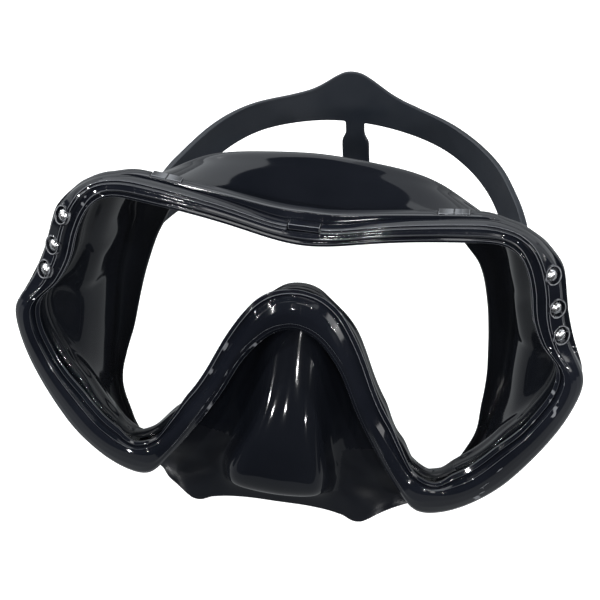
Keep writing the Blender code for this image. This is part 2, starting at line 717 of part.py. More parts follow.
def lever_piece():
    """Two knuckles on the pin, a thumb plate and a gripping edge."""
    body = box(LEVER_PLATE_X, (LEVER_Y + 2.3, LEVER_END_Y), (PIVOT_Z - 8.6, PIVOT_Z + 8.6))
    for z in (-6.6, 6.6):
        boolean(body, rod((LEVER_X, LEVER_Y, PIVOT_Z + z), (0, 0, 1), KNUCKLE_R, 5.6, 20), "UNION")
        boolean(body, box((LEVER_X, LEVER_PLATE_X[1]), (LEVER_Y, LEVER_Y + 3.4), (PIVOT_Z + z - 2, PIVOT_Z + z + 2)), "UNION")
    for k in range(3):
        boolean(body, rod((LEVER_PLATE_X[1] - 0.15, LEVER_END_Y - 2.4 - 2.4 * k, PIVOT_Z), (0, 0, 1), 0.6, 15, 8), "UNION")
    boolean(body, rod((LEVER_X, LEVER_Y, PIVOT_Z), (0, 0, 1), LEVER_PIN_R + GAP, 40, 16), "DIFFERENCE")
    bpy.context.view_layer.update()
    return bake(body)


def spring_piece():
    """Torsion spring: coils round the lever's pin, one leg on the hub and one
    under the thumb plate."""
    curve = bpy.data.curves.new("spring", "CURVE")
    curve.dimensions = "3D"
    curve.bevel_depth = 0.18 * MM
    curve.bevel_resolution = 1
    curve.use_fill_caps = True
    line = curve.splines.new("POLY")
    coil_r, turns, per = 1.4, 3.25, 10
    points = []
    for k in range(int(turns * per) + 1):
        a = math.pi * 1.0 + 2 * math.pi * k / per
        points.append((LEVER_X + coil_r * math.cos(a), LEVER_Y + coil_r * math.sin(a), PIVOT_Z - 2.2 + 4.4 * k / (turns * per)))
    points.insert(0, (points[0][0], HUB_Y[1] - 0.2, points[0][2]))
    points.append((LEVER_PLATE_X[0] - 0.35, LEVER_Y - coil_r + 0.1, points[-1][2]))
    line.points.add(len(points) - 1)
    for p, c in zip(line.points, points):
        p.co = (c[0] * MM, c[1] * MM, c[2] * MM, 1)
    wire = bpy.data.objects.new("spring", curve)
    PARTS.objects.link(wire)
    bpy.context.view_layer.update()
    mesh = bpy.data.meshes.new_from_object(wire.evaluated_get(bpy.context.evaluated_depsgraph_get()))
    bpy.data.objects.remove(wire)
    bm = bmesh.new()
    bm.from_mesh(mesh)
    return to_object(bm, smooth=60)


LEVERS, ROLLERS = {}, {}
for name_side, side in (("right", 1), ("left", -1)):
    pivot = (0, PIVOT_Y, PIVOT_Z)
    LEVERS[side] = empty(f"lever_hinge_{name_side}", (side * LEVER_X, LEVER_Y, PIVOT_Z), STRAP_HINGE, pivot)
    ROLLERS[side] = empty(f"roller_axis_{name_side}", (side * ROLLER_X, ROLLER_Y, PIVOT_Z), STRAP_HINGE, pivot)

pieces = (
    ("buckle", buckle_piece(), "buckle_plastic", {1: STRAP_HINGE, -1: STRAP_HINGE}),
    ("pivot_pin", turned(
        ((0, 0.9), (1.8, 0.75), (3.2, 0.25), (3.2, 0.0), (PIN_R, 0.0), (PIN_R, -9.6), (0, -9.6)),
        (CHEEK_OUT_X[1] + 0.3, PIVOT_Y, PIVOT_Z), (1, 0, 0), 18), "steel", {1: ROOT, -1: ROOT}),
    ("strap_roller", turned(
        ((0, 13.0), (JOURNAL_R, 13.0), (JOURNAL_R, 10.1), (ROLLER_R, 10.1), (ROLLER_R, -10.1), (JOURNAL_R, -10.1), (JOURNAL_R, -13.0), (0, -13.0)),
        (ROLLER_X, ROLLER_Y, PIVOT_Z), (0, 0, 1), 18), "steel", ROLLERS),
    ("release_lever", lever_piece(), "buckle_plastic", LEVERS),
    ("lever_pin", rod((LEVER_X, LEVER_Y, PIVOT_Z), (0, 0, 1), LEVER_PIN_R, 26.0, 14), "steel", {1: STRAP_HINGE, -1: STRAP_HINGE}),
    ("lever_spring", spring_piece(), "steel", {1: STRAP_HINGE, -1: STRAP_HINGE}),
)
washer = rod((CHEEK_IN_X[0] - 0.65, PIVOT_Y, PIVOT_Z), (1, 0, 0), 3.3, 0.7, 18)
boolean(washer, rod((CHEEK_IN_X[0] - 0.65, PIVOT_Y, PIVOT_Z), (1, 0, 0), PIN_R + 0.15, 4, 18), "DIFFERENCE")
bpy.context.view_layer.update()
pieces += (("pivot_washer", bake(washer), "steel", {1: ROOT, -1: ROOT}),)
for kind, made, finish, parents in pieces:
    other = mirror_x(made)
    place(f"{kind}_right", made, finish, parents[1])
    place(f"{kind}_left", other, finish, parents[-1])

# ------------------------------------------------- stand the mask on its points
bpy.context.view_layer.update()
graph = bpy.context.evaluated_depsgraph_get()


def outline_points(*names):
    found = []
    for name in names:
        seen = bpy.data.objects[name].evaluated_get(graph)
        mesh = seen.to_mesh()
        at = Vector(bpy.data.objects[name].parent["at"]) * MM
        found += [v.co + at for v in mesh.vertices]
        seen.to_mesh_clear()
    return np.array(found)


def lowest(points, lean):
    return float((-points[:, 1] * math.sin(lean) + points[:, 2] * math.cos(lean)).min())


front_points, strap_points = outline_points("skirt"), outline_points("strap")
low, high = 0.0, math.radians(40)
for _ in range(50):
    lean = (low + high) / 2
    if lowest(strap_points, lean) > lowest(front_points, lean):
        low = lean
    else:
        high = lean
every = outline_points(*[o.name for o in PARTS.objects if o.type == "MESH"])
depth = every[:, 1] * math.cos(lean) + every[:, 2] * math.sin(lean)
ROOT.rotation_euler = (-lean, 0, 0)
ROOT.location = (0, -(depth.min() + depth.max()) / 2, -lowest(every, lean))
bpy.context.view_layer.update()
print("lean", round(math.degrees(lean), 3), "root", [round(c * 1000, 3) for c in ROOT.location])
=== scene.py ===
"""Looks of the diving mask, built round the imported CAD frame.

Shapes are worked out in the mask's own axes, in millimetres: x to the viewer's
right, y from the front of the bezel back, z up.  world() leans them back and
sets them on the ground, where the CAD stands.
"""

import math

import bmesh
import bpy
import numpy as np
from mathutils import Matrix, Vector

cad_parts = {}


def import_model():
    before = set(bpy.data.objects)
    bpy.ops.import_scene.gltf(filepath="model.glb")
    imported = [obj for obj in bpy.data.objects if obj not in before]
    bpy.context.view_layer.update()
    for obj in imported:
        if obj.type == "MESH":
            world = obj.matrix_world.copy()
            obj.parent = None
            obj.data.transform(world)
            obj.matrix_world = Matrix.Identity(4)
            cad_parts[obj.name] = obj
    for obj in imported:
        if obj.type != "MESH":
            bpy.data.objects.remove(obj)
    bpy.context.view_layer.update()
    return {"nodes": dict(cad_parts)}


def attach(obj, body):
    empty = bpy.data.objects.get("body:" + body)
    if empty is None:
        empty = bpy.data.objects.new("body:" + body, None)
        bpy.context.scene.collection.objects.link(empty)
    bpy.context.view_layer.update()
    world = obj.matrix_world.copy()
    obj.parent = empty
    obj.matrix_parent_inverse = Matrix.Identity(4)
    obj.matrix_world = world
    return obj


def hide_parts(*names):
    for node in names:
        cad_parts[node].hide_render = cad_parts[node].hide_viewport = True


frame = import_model()

# ------------------------------------------------------------------ dimensions
LEAN = math.radians(20.963)
STAND = np.array((0.0, -65.748, 85.123))

SEAM_Y, EAR_SEAM_Y = 8.0, 13.0
LENS_FRONT, LENS_BACK = 5.3, 8.8
REAR_FRAME_BACK = 14.5
LENS_TUCK, FLANGE_TUCK, FLANGE_Y = 3.0, 4.3, 10.35
SKIRT_THICK, STRAP_THICK, GAP = 2.0, 2.2, 0.3

# Lens edge and bezel edge by station: (lens x, lens z, bezel x, bezel z).
OUTLINE = (
    (0, 17, 0, 23), (10, 18, 10, 23.5), (22, 20.5, 21, 26), (35, 22.7, 34, 28.4),
    (47, 24.2, 48, 30.4), (57, 25, 59, 31.3), (63, 24, 66.8, 29.6), (67, 21, 73.6, 24.9),
    (69.5, 16.5, 78.5, 18.5), (71.5, 10, 81, 11), (72.5, 4, 82.5, 4),
    (74.5, -1.5, 84.5, -2.5), (77.5, -7, 87.5, -9), (81.5, -11.5, 91, -15),
    (83, -16.5, 92, -20), (82, -22.5, 90.5, -27), (79, -29, 87.5, -35),
    (74.5, -36.5, 83, -43.5), (68.5, -44.5, 77.5, -52), (62, -52, 70.5, -61),
    (56, -56.5, 62.5, -68.5), (50, -58, 52, -73.5), (45, -56.5, 44, -72.5),
    (40.2, -52, 38.3, -64.5), (35.5, -46, 32.3, -55.5), (30.4, -39, 26.3, -46),
    (25.8, -30.5, 20.8, -36), (21.5, -20.5, 16.4, -26.2), (16.7, -11.5, 11.5, -19.2),
    (11.9, -4.8, 7.6, -15), (6.3, 0.2, 3.8, -12.8), (0, 1.6, 0, -12),
)
LAST = len(OUTLINE) - 1
REAR_PROUD = (
    (0, 3.0), (1, 2.6), (2, 1.6), (3, 0.9), (4, 0.5), (5, 0.4), (6, 0.7), (7, 1.1), (8, 1.3), (11, 1.3), (12, 0.9),
    (13, 0.1), (14.5, -0.8), (31, -0.8))
FLANK_DEPTH = 3.5       # the ring's outer wall runs this much deeper behind an ear

SEAL = (
    (0, (0, 32, 37), (0, 33, 26)),
    (3, (33, 33, 33), (25, 34.5, 23)),
    (5, (48, 39, 24), (40.5, 40, 19)),
    (7, (62, 47, 13), (49, 45.5, 9.5)),
    (9, (66.5, 53, 1), (55.5, 50, -1.5)),
    (11, (69, 54, -9), (58.8, 51, -12)),
    (14, (70.5, 52, -22), (61, 49, -24)),
    (16, (70, 49, -38), (62.6, 46, -39)),
    (17, (69, 46.5, -48), (63.3, 44, -48)),
    (18, (67, 43, -58), (63, 41.5, -59)),
    (19, (62, 38, -70), (57.5, 37.5, -70)),
)
# Round the nose: behind the frame, top of the pocket, pocket wall, ridge, ridge
# foot, pocket floor front, floor back, lip edge.
NOSE = (
    (20, (56.4, 18.3, -61), (56.2, 20.5, -63), (55.8, 23.5, -65), (54, 28, -69), (52, 30, -74), (50.5, 31, -77.5), (49, 30.5, -79.5), (47, 27.5, -80)),
    (21, (50, 18, -63.8), (49.3, 19.5, -64.2), (48.3, 21, -66.2), (45, 22.5, -69.5), (41.5, 22.5, -72.5), (39.5, 21.5, -74), (38, 19.5, -75.7), (37, 16.5, -79.6)),
    (22, (43.3, 17.4, -64), (41, 17.6, -64.4), (38, 17.6, -66.2), (32, 17, -68), (28, 16, -69.5), (27, 15.5, -72), (27.3, 14.8, -76.5), (28.2, 13.8, -84.2)),
    (24, (31.5, 17, -56.5), (26.5, 16.2, -57.5), (22, 14.8, -58.5), (18, 13.6, -61), (17.6, 12.6, -65.5), (17.8, 13, -69.5), (19, 13.8, -73), (21.5, 14.2, -82.8)),
    (26, (20.3, 17, -37), (15.4, 14.6, -38.5), (12.9, 10.2, -41.5), (11.8, 4.8, -50), (13.5, 0.4, -63), (13.8, 3.4, -69), (14.5, 10.6, -72.7), (16, 14.5, -81.8)),
    (28, (10.8, 17, -20.5), (8.9, 13.6, -21), (7.6, 11.0, -23.5), (7.1, 2.0, -42.5), (7.6, -1.6, -61.8), (7.6, 2.0, -69.8), (8, 10.0, -72.7), (9, 14.5, -81.2)),
    (31, (0, 17, -12.6), (0, 13.2, -12.9), (0, 11.4, -15.4), (0, 1.5, -39), (0, -2.3, -61.5), (0, 1.4, -70), (0, 10.0, -72.8), (0, 14.5, -81.2)),
)

STRAP_PLAN = ((0, 152), (13, 151), (26, 146.5), (37.2, 139), (46.5, 127.5), (53.9, 114), (59.7, 99), (65, 83), (70.6, 67), (75.6, 54), (77.3, 46))
STRAP_TAIL = ((83.9, 46), (83.9, 54), (82.9, 62))
TAIL_END = (80.3, 86)
STRAP_SWAY, STRAP_HALF, STRAP_SPREAD, STRAP_BUMP = 4.4, 10.0, 12.5, 11.0
SLOT_HALF, SLOT_LENGTH = 13.5, 82.0
BAR_HALF, BAR_FLARE = 3.7, 1.7
STRAP_RISE, STRAP_LEVEL, STRAP_ROLL = 20.0, 128.0, 0.12
STRAP_ARCH = 5.5        # the lower edge arches up by this much beside the head

PIVOT_Y, PIVOT_Z = 30.0, -19.0
LUG_X, LUG_ROOT_X, LUG_R = (79.1, 82.1), (85.6, 89.2), 5.8
CHEEK_IN_X, CHEEK_OUT_X, CHEEK_R = (76.6, 78.8), (82.4, 84.6), 6.2
PIN_R, PIN_HOLE_R = 2.0, 2.35
HUB_Y = (37.4, 41.4)
ROLLER_X, ROLLER_Y, ROLLER_R, JOURNAL_R = 80.6, 46.0, 1.9, 1.2
LEVER_X, LEVER_Y, LEVER_PIN_R = 84.9, 40.6, 0.9
LEVER_PLATE_X, LEVER_END_Y = (85.45, 87.0), 56.0
STUD_STATIONS, STUD_ACROSS = (8.15, 9.65, 11.0), 0.76
STUD_R, RECESS_R, RECESS_DEPTH = 2.0, 2.7, 1.4
CLIP_HALF, CLIP_TALL, CLIP_U = 4.9, 1.5, 3.78


# --------------------------------------------------------------------- helpers
def world(points):
    """Mask axes in millimetres to the CAD's frame in metres."""
    p = np.asarray(points, float)
    c, s = math.cos(LEAN), math.sin(LEAN)
    moved = np.stack((p[..., 0], p[..., 1] * c + p[..., 2] * s, -p[..., 1] * s + p[..., 2] * c), -1)
    return (moved + STAND) * 0.001


def smooth(t):
    t = np.clip(t, 0.0, 1.0)
    return t * t * (3 - 2 * t)


def keyed(table, u):
    """Smooth interpolation of a table of (station, value, value, ...) rows."""
    stations = [row[0] for row in table]
    u = min(max(u, stations[0]), stations[-1])
    k = min(max(i for i, s in enumerate(stations) if s <= u), len(table) - 2)

    def rows(i):
        return np.array(table[min(max(i, 0), len(table) - 1)][1:], float)

    span = stations[k + 1] - stations[k]
    t = (u - stations[k]) / span
    before, after = stations[max(k - 1, 0)], stations[min(k + 2, len(table) - 1)]
    m0 = (rows(k + 1) - rows(k - 1)) / max(stations[k + 1] - before, 1e-6) * span
    m1 = (rows(k + 2) - rows(k)) / max(after - stations[k], 1e-6) * span
    if k == 0:
        m0 = rows(1) - rows(0)
    t2, t3 = t * t, t**3
    return (2 * t3 - 3 * t2 + 1) * rows(k) + (t3 - 2 * t2 + t) * m0 + (3 * t2 - 2 * t3) * rows(k + 1) + (t3 - t2) * m1


def catmull(points, steps, closed=False):
    """A centripetal-feeling Catmull-Rom curve through points, steps to a span."""
    p = np.asarray(points, float)
    count = len(p)
    spans = count if closed else count - 1
    out = []
    for i in range(spans):
        if closed:
            a, b, c, d = p[i - 1], p[i], p[(i + 1) % count], p[(i + 2) % count]
        else:
            b, c = p[i], p[i + 1]
            a = p[i - 1] if i else 2 * b - c
            d = p[i + 2] if i + 2 < count else 2 * c - b
        for k in range(steps):
            t = k / steps
            out.append(0.5 * (2 * b + (c - a) * t + (2 * a - 5 * b + 4 * c - d) * t * t + (3 * b - a - 3 * c + d) * t**3))
    if not closed:
        out.append(p[-1])
    return np.array(out)


def natural(points, steps):
    """A curvature-continuous curve through points of one line, steps to a span."""
    p = np.asarray(points, float)
    count = len(p)
    chord = np.maximum(np.linalg.norm(np.diff(p, axis=0), axis=1), 0.4) ** 0.6
    h = chord
    system = np.zeros((count, count))
    right = np.zeros_like(p)
    system[0, 0] = system[-1, -1] = 1
    for i in range(1, count - 1):
        system[i, i - 1], system[i, i], system[i, i + 1] = h[i - 1], 2 * (h[i - 1] + h[i]), h[i]
        right[i] = 6 * ((p[i + 1] - p[i]) / h[i] - (p[i] - p[i - 1]) / h[i - 1])
    bend = np.linalg.solve(system, right)
    out = []
    for i in range(count - 1):
        for k in range(steps):
            s = h[i] * k / steps
            r = h[i] - s
            out.append(
                bend[i] * r**3 / (6 * h[i]) + bend[i + 1] * s**3 / (6 * h[i])
                + (p[i] / h[i] - bend[i] * h[i] / 6) * r + (p[i + 1] / h[i] - bend[i + 1] * h[i] / 6) * s)
    out.append(p[-1])
    return np.array(out)


def blur(ring, sigma):
    """Gaussian smoothing round a closed ring; sigma counts ring steps."""
    if sigma <= 0:
        return ring
    reach = int(math.ceil(3 * sigma))
    weight = np.exp(-0.5 * (np.arange(-reach, reach + 1) / sigma) ** 2)
    weight /= weight.sum()
    total = np.zeros_like(ring)
    for k, w in zip(range(-reach, reach + 1), weight):
        total += w * np.roll(ring, k, axis=0)
    return total


def ease_ring(ring, sigma):
    """Smoothing that takes out kinks and keeps the ring's size."""
    return blur(2 * ring - blur(ring, sigma), sigma)


# The ring, sampled finely and eased so that reflections run cleanly round it.
PER = 12
_half = np.array(OUTLINE, float)
_flip = np.array((-1, 1, -1, 1))
_loop = np.concatenate([_half, (_half * _flip)[-2:0:-1]])
_fine = ease_ring(catmull(_loop, PER, closed=True), 0.42 * PER)
COLUMNS = len(_fine)
_turn = np.arange(COLUMNS) / PER
RING_U = np.where(_turn <= LAST, _turn, 2 * LAST - _turn)
RING_SIDE = np.where(_turn <= LAST, 1.0, -1.0)
RING_IN = _fine[:, :2]
_across = _fine[:, 2:] - _fine[:, :2]
RING_W = np.hypot(_across[:, 0], _across[:, 1])
RING_OUT = _across / RING_W[:, None]


def column(u):
    """Lens edge, outward direction and width at any station of the right half."""
    k = u * PER
    i = int(math.floor(k))
    t = k - i
    j = (i + 1) % COLUMNS
    inner = RING_IN[i] * (1 - t) + RING_IN[j] * t
    out = RING_OUT[i] * (1 - t) + RING_OUT[j] * t
    return inner, out / np.hypot(*out), RING_W[i] * (1 - t) + RING_W[j] * t


def at_station(u, n, y):
    inner, out, _ = column(u)
    return np.array((inner[0] + out[0] * n, y, inner[1] + out[1] * n))


def ear(u):
    return smooth((u - 5.5) / 2.5) * (1 - smooth((u - 11.8) / 2.7))


def flank(u):
    return smooth((u - 6.4) / 1.3) * (1 - smooth((u - 10.6) / 1.2))


def seam_y(u):
    return SEAM_Y + (EAR_SEAM_Y - SEAM_Y) * ear(u)


def nose_tuck(u):
    return 1.0 * smooth((u - 22) / 4)


def on_column(k, n, y):
    p = RING_IN[k] + RING_OUT[k] * n
    return (p[0], y, p[1])


# ---------------------------------------------------------------- mesh helpers
def mesh_object(name, bm, in_mask_axes=True, sharp=38.0):
    if in_mask_axes:
        spots = world([v.co[:] for v in bm.verts])
        for v, p in zip(bm.verts, spots):
            v.co = p
    bmesh.ops.remove_doubles(bm, verts=bm.verts, dist=2e-6)
    bmesh.ops.recalc_face_normals(bm, faces=bm.faces)
    mesh = bpy.data.meshes.new(name)
    bm.to_mesh(mesh)
    bm.free()
    made = bpy.data.objects.new(name, mesh)
    bpy.context.scene.collection.objects.link(made)
    shade(made, sharp)
    return made


def shade(made, sharp=38.0):
    made.data.shade_smooth()
    if sharp:
        made.data.set_sharp_from_angle(angle=math.radians(sharp))


def bake(made):
    """Turn the modifiers into plain mesh."""
    bpy.context.view_layer.update()
    graph = bpy.context.evaluated_depsgraph_get()
    mesh = bpy.data.meshes.new_from_object(made.evaluated_get(graph))
    made.modifiers.clear()
    old, made.data = made.data, mesh
    bpy.data.meshes.remove(old)
    return made


def boolean(target, other, operation):
    change = target.modifiers.new("boolean", "BOOLEAN")
    change.operation = operation
    change.object = other
    change.solver = "EXACT"
    bake(target)
    bpy.data.objects.remove(other)


def bevel(made, width, segments=3, angle=35.0):
    soft = made.modifiers.new("bevel", "BEVEL")
    soft.width = width * 0.001
    soft.segments = segments
    soft.limit_method = "ANGLE"
    soft.angle_limit = math.radians(angle)
    soft.harden_normals = False
    return bake(made)


def mark_edge_highlights(made):
    """Marks the edges of a small moulding, where a lighter base colour paints a highlight line."""
    bm = bmesh.new()
    bm.from_mesh(made.data)
    ridge_highlight = bm.verts.layers.float.new("ridge_highlight")
    for vert in bm.verts:
        normals = [face.normal for face in vert.link_faces]
        vert[ridge_highlight] = float(any(a.dot(b) < 0.9 for a in normals for b in normals))
    bm.to_mesh(made.data)
    bm.free()


def loft(sections, closed_section=True):
    bm = bmesh.new()
    rows = [[bm.verts.new(p) for p in section] for section in sections]
    for k, row in enumerate(rows):
        after = rows[(k + 1) % len(rows)]
        for j in range(len(row) if closed_section else len(row) - 1):
            m = (j + 1) % len(row)
            bm.faces.new((row[j], row[m], after[m], after[j]))
    return bm


def lathe(bm, profile, base, direction, sides=48):
    """Add a profile of (radius, height), top to bottom, turned about a direction."""
    turn = Vector((0, 0, 1)).rotation_difference(Vector(direction)).to_matrix()
    rings = []
    for r, h in profile:
        if r < 1e-6:
            rings.append([bm.verts.new(turn @ Vector((0, 0, h)) + Vector(base))])
        else:
            rings.append([
                bm.verts.new(turn @ Vector((r * math.cos(2 * math.pi * k / sides), r * math.sin(2 * math.pi * k / sides), h)) + Vector(base))
                for k in range(sides)])
    for a, b in zip(rings, rings[1:]):
        for k in range(sides):
            m = (k + 1) % sides
            if len(a) == 1:
                bm.faces.new((a[0], b[k], b[m]))
            elif len(b) == 1:
                bm.faces.new((a[k], a[m], b[0]))
            else:
                bm.faces.new((a[k], a[m], b[m], b[k]))


def block(bm, x, y, z, place=None):
    """Add a box; place maps its corners."""
    corners = [Vector((a, b, c)) for a in x for b in y for c in z]
    made = [bm.verts.new(place(p) if place else p) for p in corners]
    for quad in ((0, 1, 3, 2), (4, 6, 7, 5), (0, 4, 5, 1), (2, 3, 7, 6), (0, 2, 6, 4), (1, 5, 7, 3)):
        bm.faces.new([made[i] for i in quad])
    return made


def sweep(bm, path, radius, sides=12):
    """Add a round wire along a path."""
    path = [Vector(p) for p in path]
    side = None
    rings = []
    for k, p in enumerate(path):
        ahead = (path[min(k + 1, len(path) - 1)] - path[max(k - 1, 0)]).normalized()
        if side is None:
            side = ahead.orthogonal().normalized()
        side = (side - ahead * side.dot(ahead)).normalized()
        other = ahead.cross(side)
        rings.append([bm.verts.new(p + side * radius * math.cos(2 * math.pi * j / sides) + other * radius * math.sin(2 * math.pi * j / sides)) for j in range(sides)])
    for a, b in zip(rings, rings[1:]):
        for j in range(sides):
            m = (j + 1) % sides
            bm.faces.new((a[j], a[m], b[m], b[j]))
    bm.faces.new(rings[0])
    bm.faces.new(rings[-1])


# ------------------------------------------------------------------- materials
class Finish:
    """A node material with a Principled shader and a few shorthand calls."""

    def __init__(self, name):
        self.made = bpy.data.materials.new(name)
        self.made.use_nodes = True
        self.tree = self.made.node_tree
        self.tree.nodes.clear()
        self.out = self.tree.nodes.new("ShaderNodeOutputMaterial")
        self.shader = self.tree.nodes.new("ShaderNodeBsdfPrincipled")
        self.tree.links.new(self.shader.outputs[0], self.out.inputs[0])
        self.where = self.tree.nodes.new("ShaderNodeTexCoord").outputs["Object"]
        self.normal = None

    def set(self, **values):
        for key, value in values.items():
            self.shader.inputs[key.replace("_", " ")].default_value = value

    def stretch(self, scale, turn=(0, 0, 0)):
        node = self.tree.nodes.new("ShaderNodeMapping")
        node.inputs["Scale"].default_value = scale
        node.inputs["Rotation"].default_value = turn
        self.tree.links.new(self.where, node.inputs["Vector"])
        return node.outputs[0]

    def noise(self, scale, detail=3.0, rough=0.5, where=None):
        node = self.tree.nodes.new("ShaderNodeTexNoise")
        node.inputs["Scale"].default_value = scale
        node.inputs["Detail"].default_value = detail
        node.inputs["Roughness"].default_value = rough
        self.tree.links.new(where or self.where, node.inputs["Vector"])
        return node.outputs["Fac"]

    def cells(self, scale, where=None):
        node = self.tree.nodes.new("ShaderNodeTexVoronoi")
        node.inputs["Scale"].default_value = scale
        self.tree.links.new(where or self.where, node.inputs["Vector"])
        return node.outputs["Distance"]

    def edges(self):
        return self.tree.nodes.new("ShaderNodeNewGeometry").outputs["Pointiness"]

    def marked(self, name):
        node = self.tree.nodes.new("ShaderNodeAttribute")
        node.attribute_name = name
        return node.outputs["Fac"]

    def ramp(self, value, *stops):
        node = self.tree.nodes.new("ShaderNodeValToRGB")
        ramp = node.color_ramp
        for k, (at, colour) in enumerate(stops):
            point = ramp.elements[k] if k < len(ramp.elements) else ramp.elements.new(at)
            point.position = at
            point.color = (*colour, 1) if isinstance(colour, tuple) else (colour, colour, colour, 1)
        self.tree.links.new(value, node.inputs["Fac"])
        return node.outputs["Color"]

    def mix(self, kind, a, b, amount=1.0):
        node = self.tree.nodes.new("ShaderNodeMix")
        node.data_type = "RGBA"
        node.blend_type = kind
        node.clamp_result = False
        node.inputs[0].default_value = amount
        self.tree.links.new(a, node.inputs[6])
        self.tree.links.new(b, node.inputs[7])
        return node.outputs[2]

    def link(self, value, socket):
        self.tree.links.new(value, self.shader.inputs[socket])

    def bump(self, height, strength, distance=0.0002):
        node = self.tree.nodes.new("ShaderNodeBump")
        node.inputs["Strength"].default_value = strength
        node.inputs["Distance"].default_value = distance
        self.tree.links.new(height, node.inputs["Height"])
        if self.normal is not None:
            self.tree.links.new(self.normal, node.inputs["Normal"])
        self.normal = node.outputs[0]

    def done(self):
        if self.normal is not None:
            self.link(self.normal, "Normal")
        return self.made


def gloss_plastic(name="gloss_plastic", rubbed=True):
    """Polished injection moulding: faint flow marks, hairlines, rubbed edges, and painted highlight lines along the
    marked ridges.
    """
    f = Finish(name)
    f.set(IOR=1.5)
    flow = f.ramp(f.noise(42, 4), (0.3, (0.0051, 0.0062, 0.0097)), (0.72, (0.0098, 0.0114, 0.0167)))
    # painted highlight: the marked ridge crests and clip edges get a lighter base colour that stands in for lit edge
    # lines
    edge_tone = f.ramp(f.marked("ridge_highlight"), (0.15, 0.0), (0.9, (0.15, 0.155, 0.165)))
    if rubbed:
        edge_tone = f.mix("ADD", edge_tone, f.ramp(f.edges(), (0.55, 0.0), (0.64, (0.20, 0.205, 0.215))))
    dust = f.ramp(f.cells(420), (0.0, (0.05, 0.05, 0.055)), (0.055, 0.0))
    spots = f.mix("MULTIPLY", dust, f.ramp(f.noise(60, 2), (0.55, 0.0), (0.7, 1.0)))
    f.link(f.mix("ADD", f.mix("ADD", flow, edge_tone), spots), "Base Color")
    hair = f.ramp(f.noise(900, 2, 0.6, f.stretch((1, 0.05, 0.12), (0.3, 0.2, 0.5))), (0.60, 0.0), (0.74, 0.10))
    base = f.ramp(f.noise(75, 5, 0.6), (0.3, 0.035), (0.75, 0.085))
    f.link(f.mix("ADD", base, hair), "Roughness")
    f.bump(f.noise(120, 2), 0.004, 0.0004)
    return f.done()


def gloss_silicone(name="gloss_silicone", dark=(0.0045, 0.0055, 0.0082), light=(0.0080, 0.0092, 0.0128), rough=(0.055, 0.105), shine=0.5):
    """Glossy moulded silicone: soft ripples, fine skin, a little lint."""
    f = Finish(name)
    f.set(IOR=1.43, Specular_IOR_Level=shine)
    cloud = f.ramp(f.noise(30, 5, 0.55), (0.3, dark), (0.72, light))
    lint = f.ramp(f.cells(300), (0.0, (0.045, 0.046, 0.05)), (0.045, 0.0))
    spots = f.mix("MULTIPLY", lint, f.ramp(f.noise(45, 2), (0.56, 0.0), (0.7, 1.0)))
    f.link(f.mix("ADD", cloud, spots), "Base Color")
    f.link(f.ramp(f.noise(55, 5, 0.6), (0.3, rough[0]), (0.75, rough[1])), "Roughness")
    f.bump(f.noise(48, 2), 0.075, 0.0010)
    f.bump(f.noise(2600, 2), 0.025, 0.00003)
    return f.done()


def satin_silicone():
    """Matt strap silicone with a fine sand-blasted skin and paler rubbed edges."""
    f = Finish("satin_silicone")
    f.set(IOR=1.40, Sheen_Weight=0.02, Sheen_Roughness=0.5)
    cloud = f.ramp(f.noise(26, 6, 0.6), (0.28, (0.0032, 0.0057, 0.0108)), (0.75, (0.0056, 0.0092, 0.0158)))
    edge_tone = f.ramp(f.edges(), (0.51, 0.0), (0.58, (0.010, 0.011, 0.013)))
    f.link(f.mix("ADD", cloud, edge_tone), "Base Color")
    f.link(f.ramp(f.noise(90, 4), (0.3, 0.40), (0.75, 0.54)), "Roughness")
    f.bump(f.noise(40, 2), 0.06, 0.001)
    f.bump(f.noise(3200, 3, 0.65), 0.16, 0.00006)
    return f.done()


def clear_glass():
    """Tempered flat glass: clear face on, mirror-like when seen edge on, with the
    faintest smears."""
    f = Finish("clear_glass_look")
    f.tree.nodes.remove(f.shader)
    through = f.tree.nodes.new("ShaderNodeBsdfTransparent")
    shine = f.tree.nodes.new("ShaderNodeBsdfGlossy")
    blend = f.tree.nodes.new("ShaderNodeMixShader")
    tilt = f.tree.nodes.new("ShaderNodeLayerWeight")
    tilt.inputs["Blend"].default_value = 0.5
    f.tree.links.new(f.ramp(f.noise(24, 4), (0.3, (0.985, 0.993, 0.990)), (0.7, (0.996, 0.999, 0.998))), through.inputs["Color"])
    f.tree.links.new(f.ramp(f.noise(36, 6, 0.65), (0.5, 0.0), (0.85, 0.012)), shine.inputs["Roughness"])
    f.tree.links.new(f.ramp(tilt.outputs["Facing"], (0.0, 0.03), (0.55, 0.04), (0.85, 0.18), (1.0, 0.9)), blend.inputs[0])
    f.tree.links.new(through.outputs[0], blend.inputs[1])
    f.tree.links.new(shine.outputs[0], blend.inputs[2])
    f.tree.links.new(blend.outputs[0], f.out.inputs[0])
    return f.made


def grained_plastic():
    """Satin moulded plastic with a spark-eroded grain and polished corners."""
    f = Finish("grained_plastic")
    f.set(IOR=1.49)
    tone = f.ramp(f.noise(60, 5), (0.3, (0.0105, 0.0112, 0.0130)), (0.72, (0.0185, 0.0195, 0.0220)))
    edge_tone = f.ramp(f.edges(), (0.52, 0.0), (0.62, (0.018, 0.018, 0.019)))
    f.link(f.mix("ADD", tone, edge_tone), "Base Color")
    f.link(f.ramp(f.noise(140, 4), (0.3, 0.26), (0.75, 0.40)), "Roughness")
    f.bump(f.noise(1900, 3, 0.6), 0.18, 0.00008)
    return f.done()


def turned_steel():
    """Stainless pins: lathe rings across the axis, light stains."""
    f = Finish("turned_steel")
    f.set(Metallic=1.0)
    f.link(f.ramp(f.noise(160, 4), (0.3, (0.50, 0.51, 0.52)), (0.75, (0.66, 0.67, 0.68))), "Base Color")
    f.link(f.ramp(f.noise(1200, 3, 0.6, f.stretch((1, 0.15, 0.15))), (0.3, 0.18), (0.75, 0.36)), "Roughness")
    f.bump(f.noise(2400, 2, 0.5, f.stretch((1, 0.1, 0.1))), 0.10, 0.00005)
    return f.done()


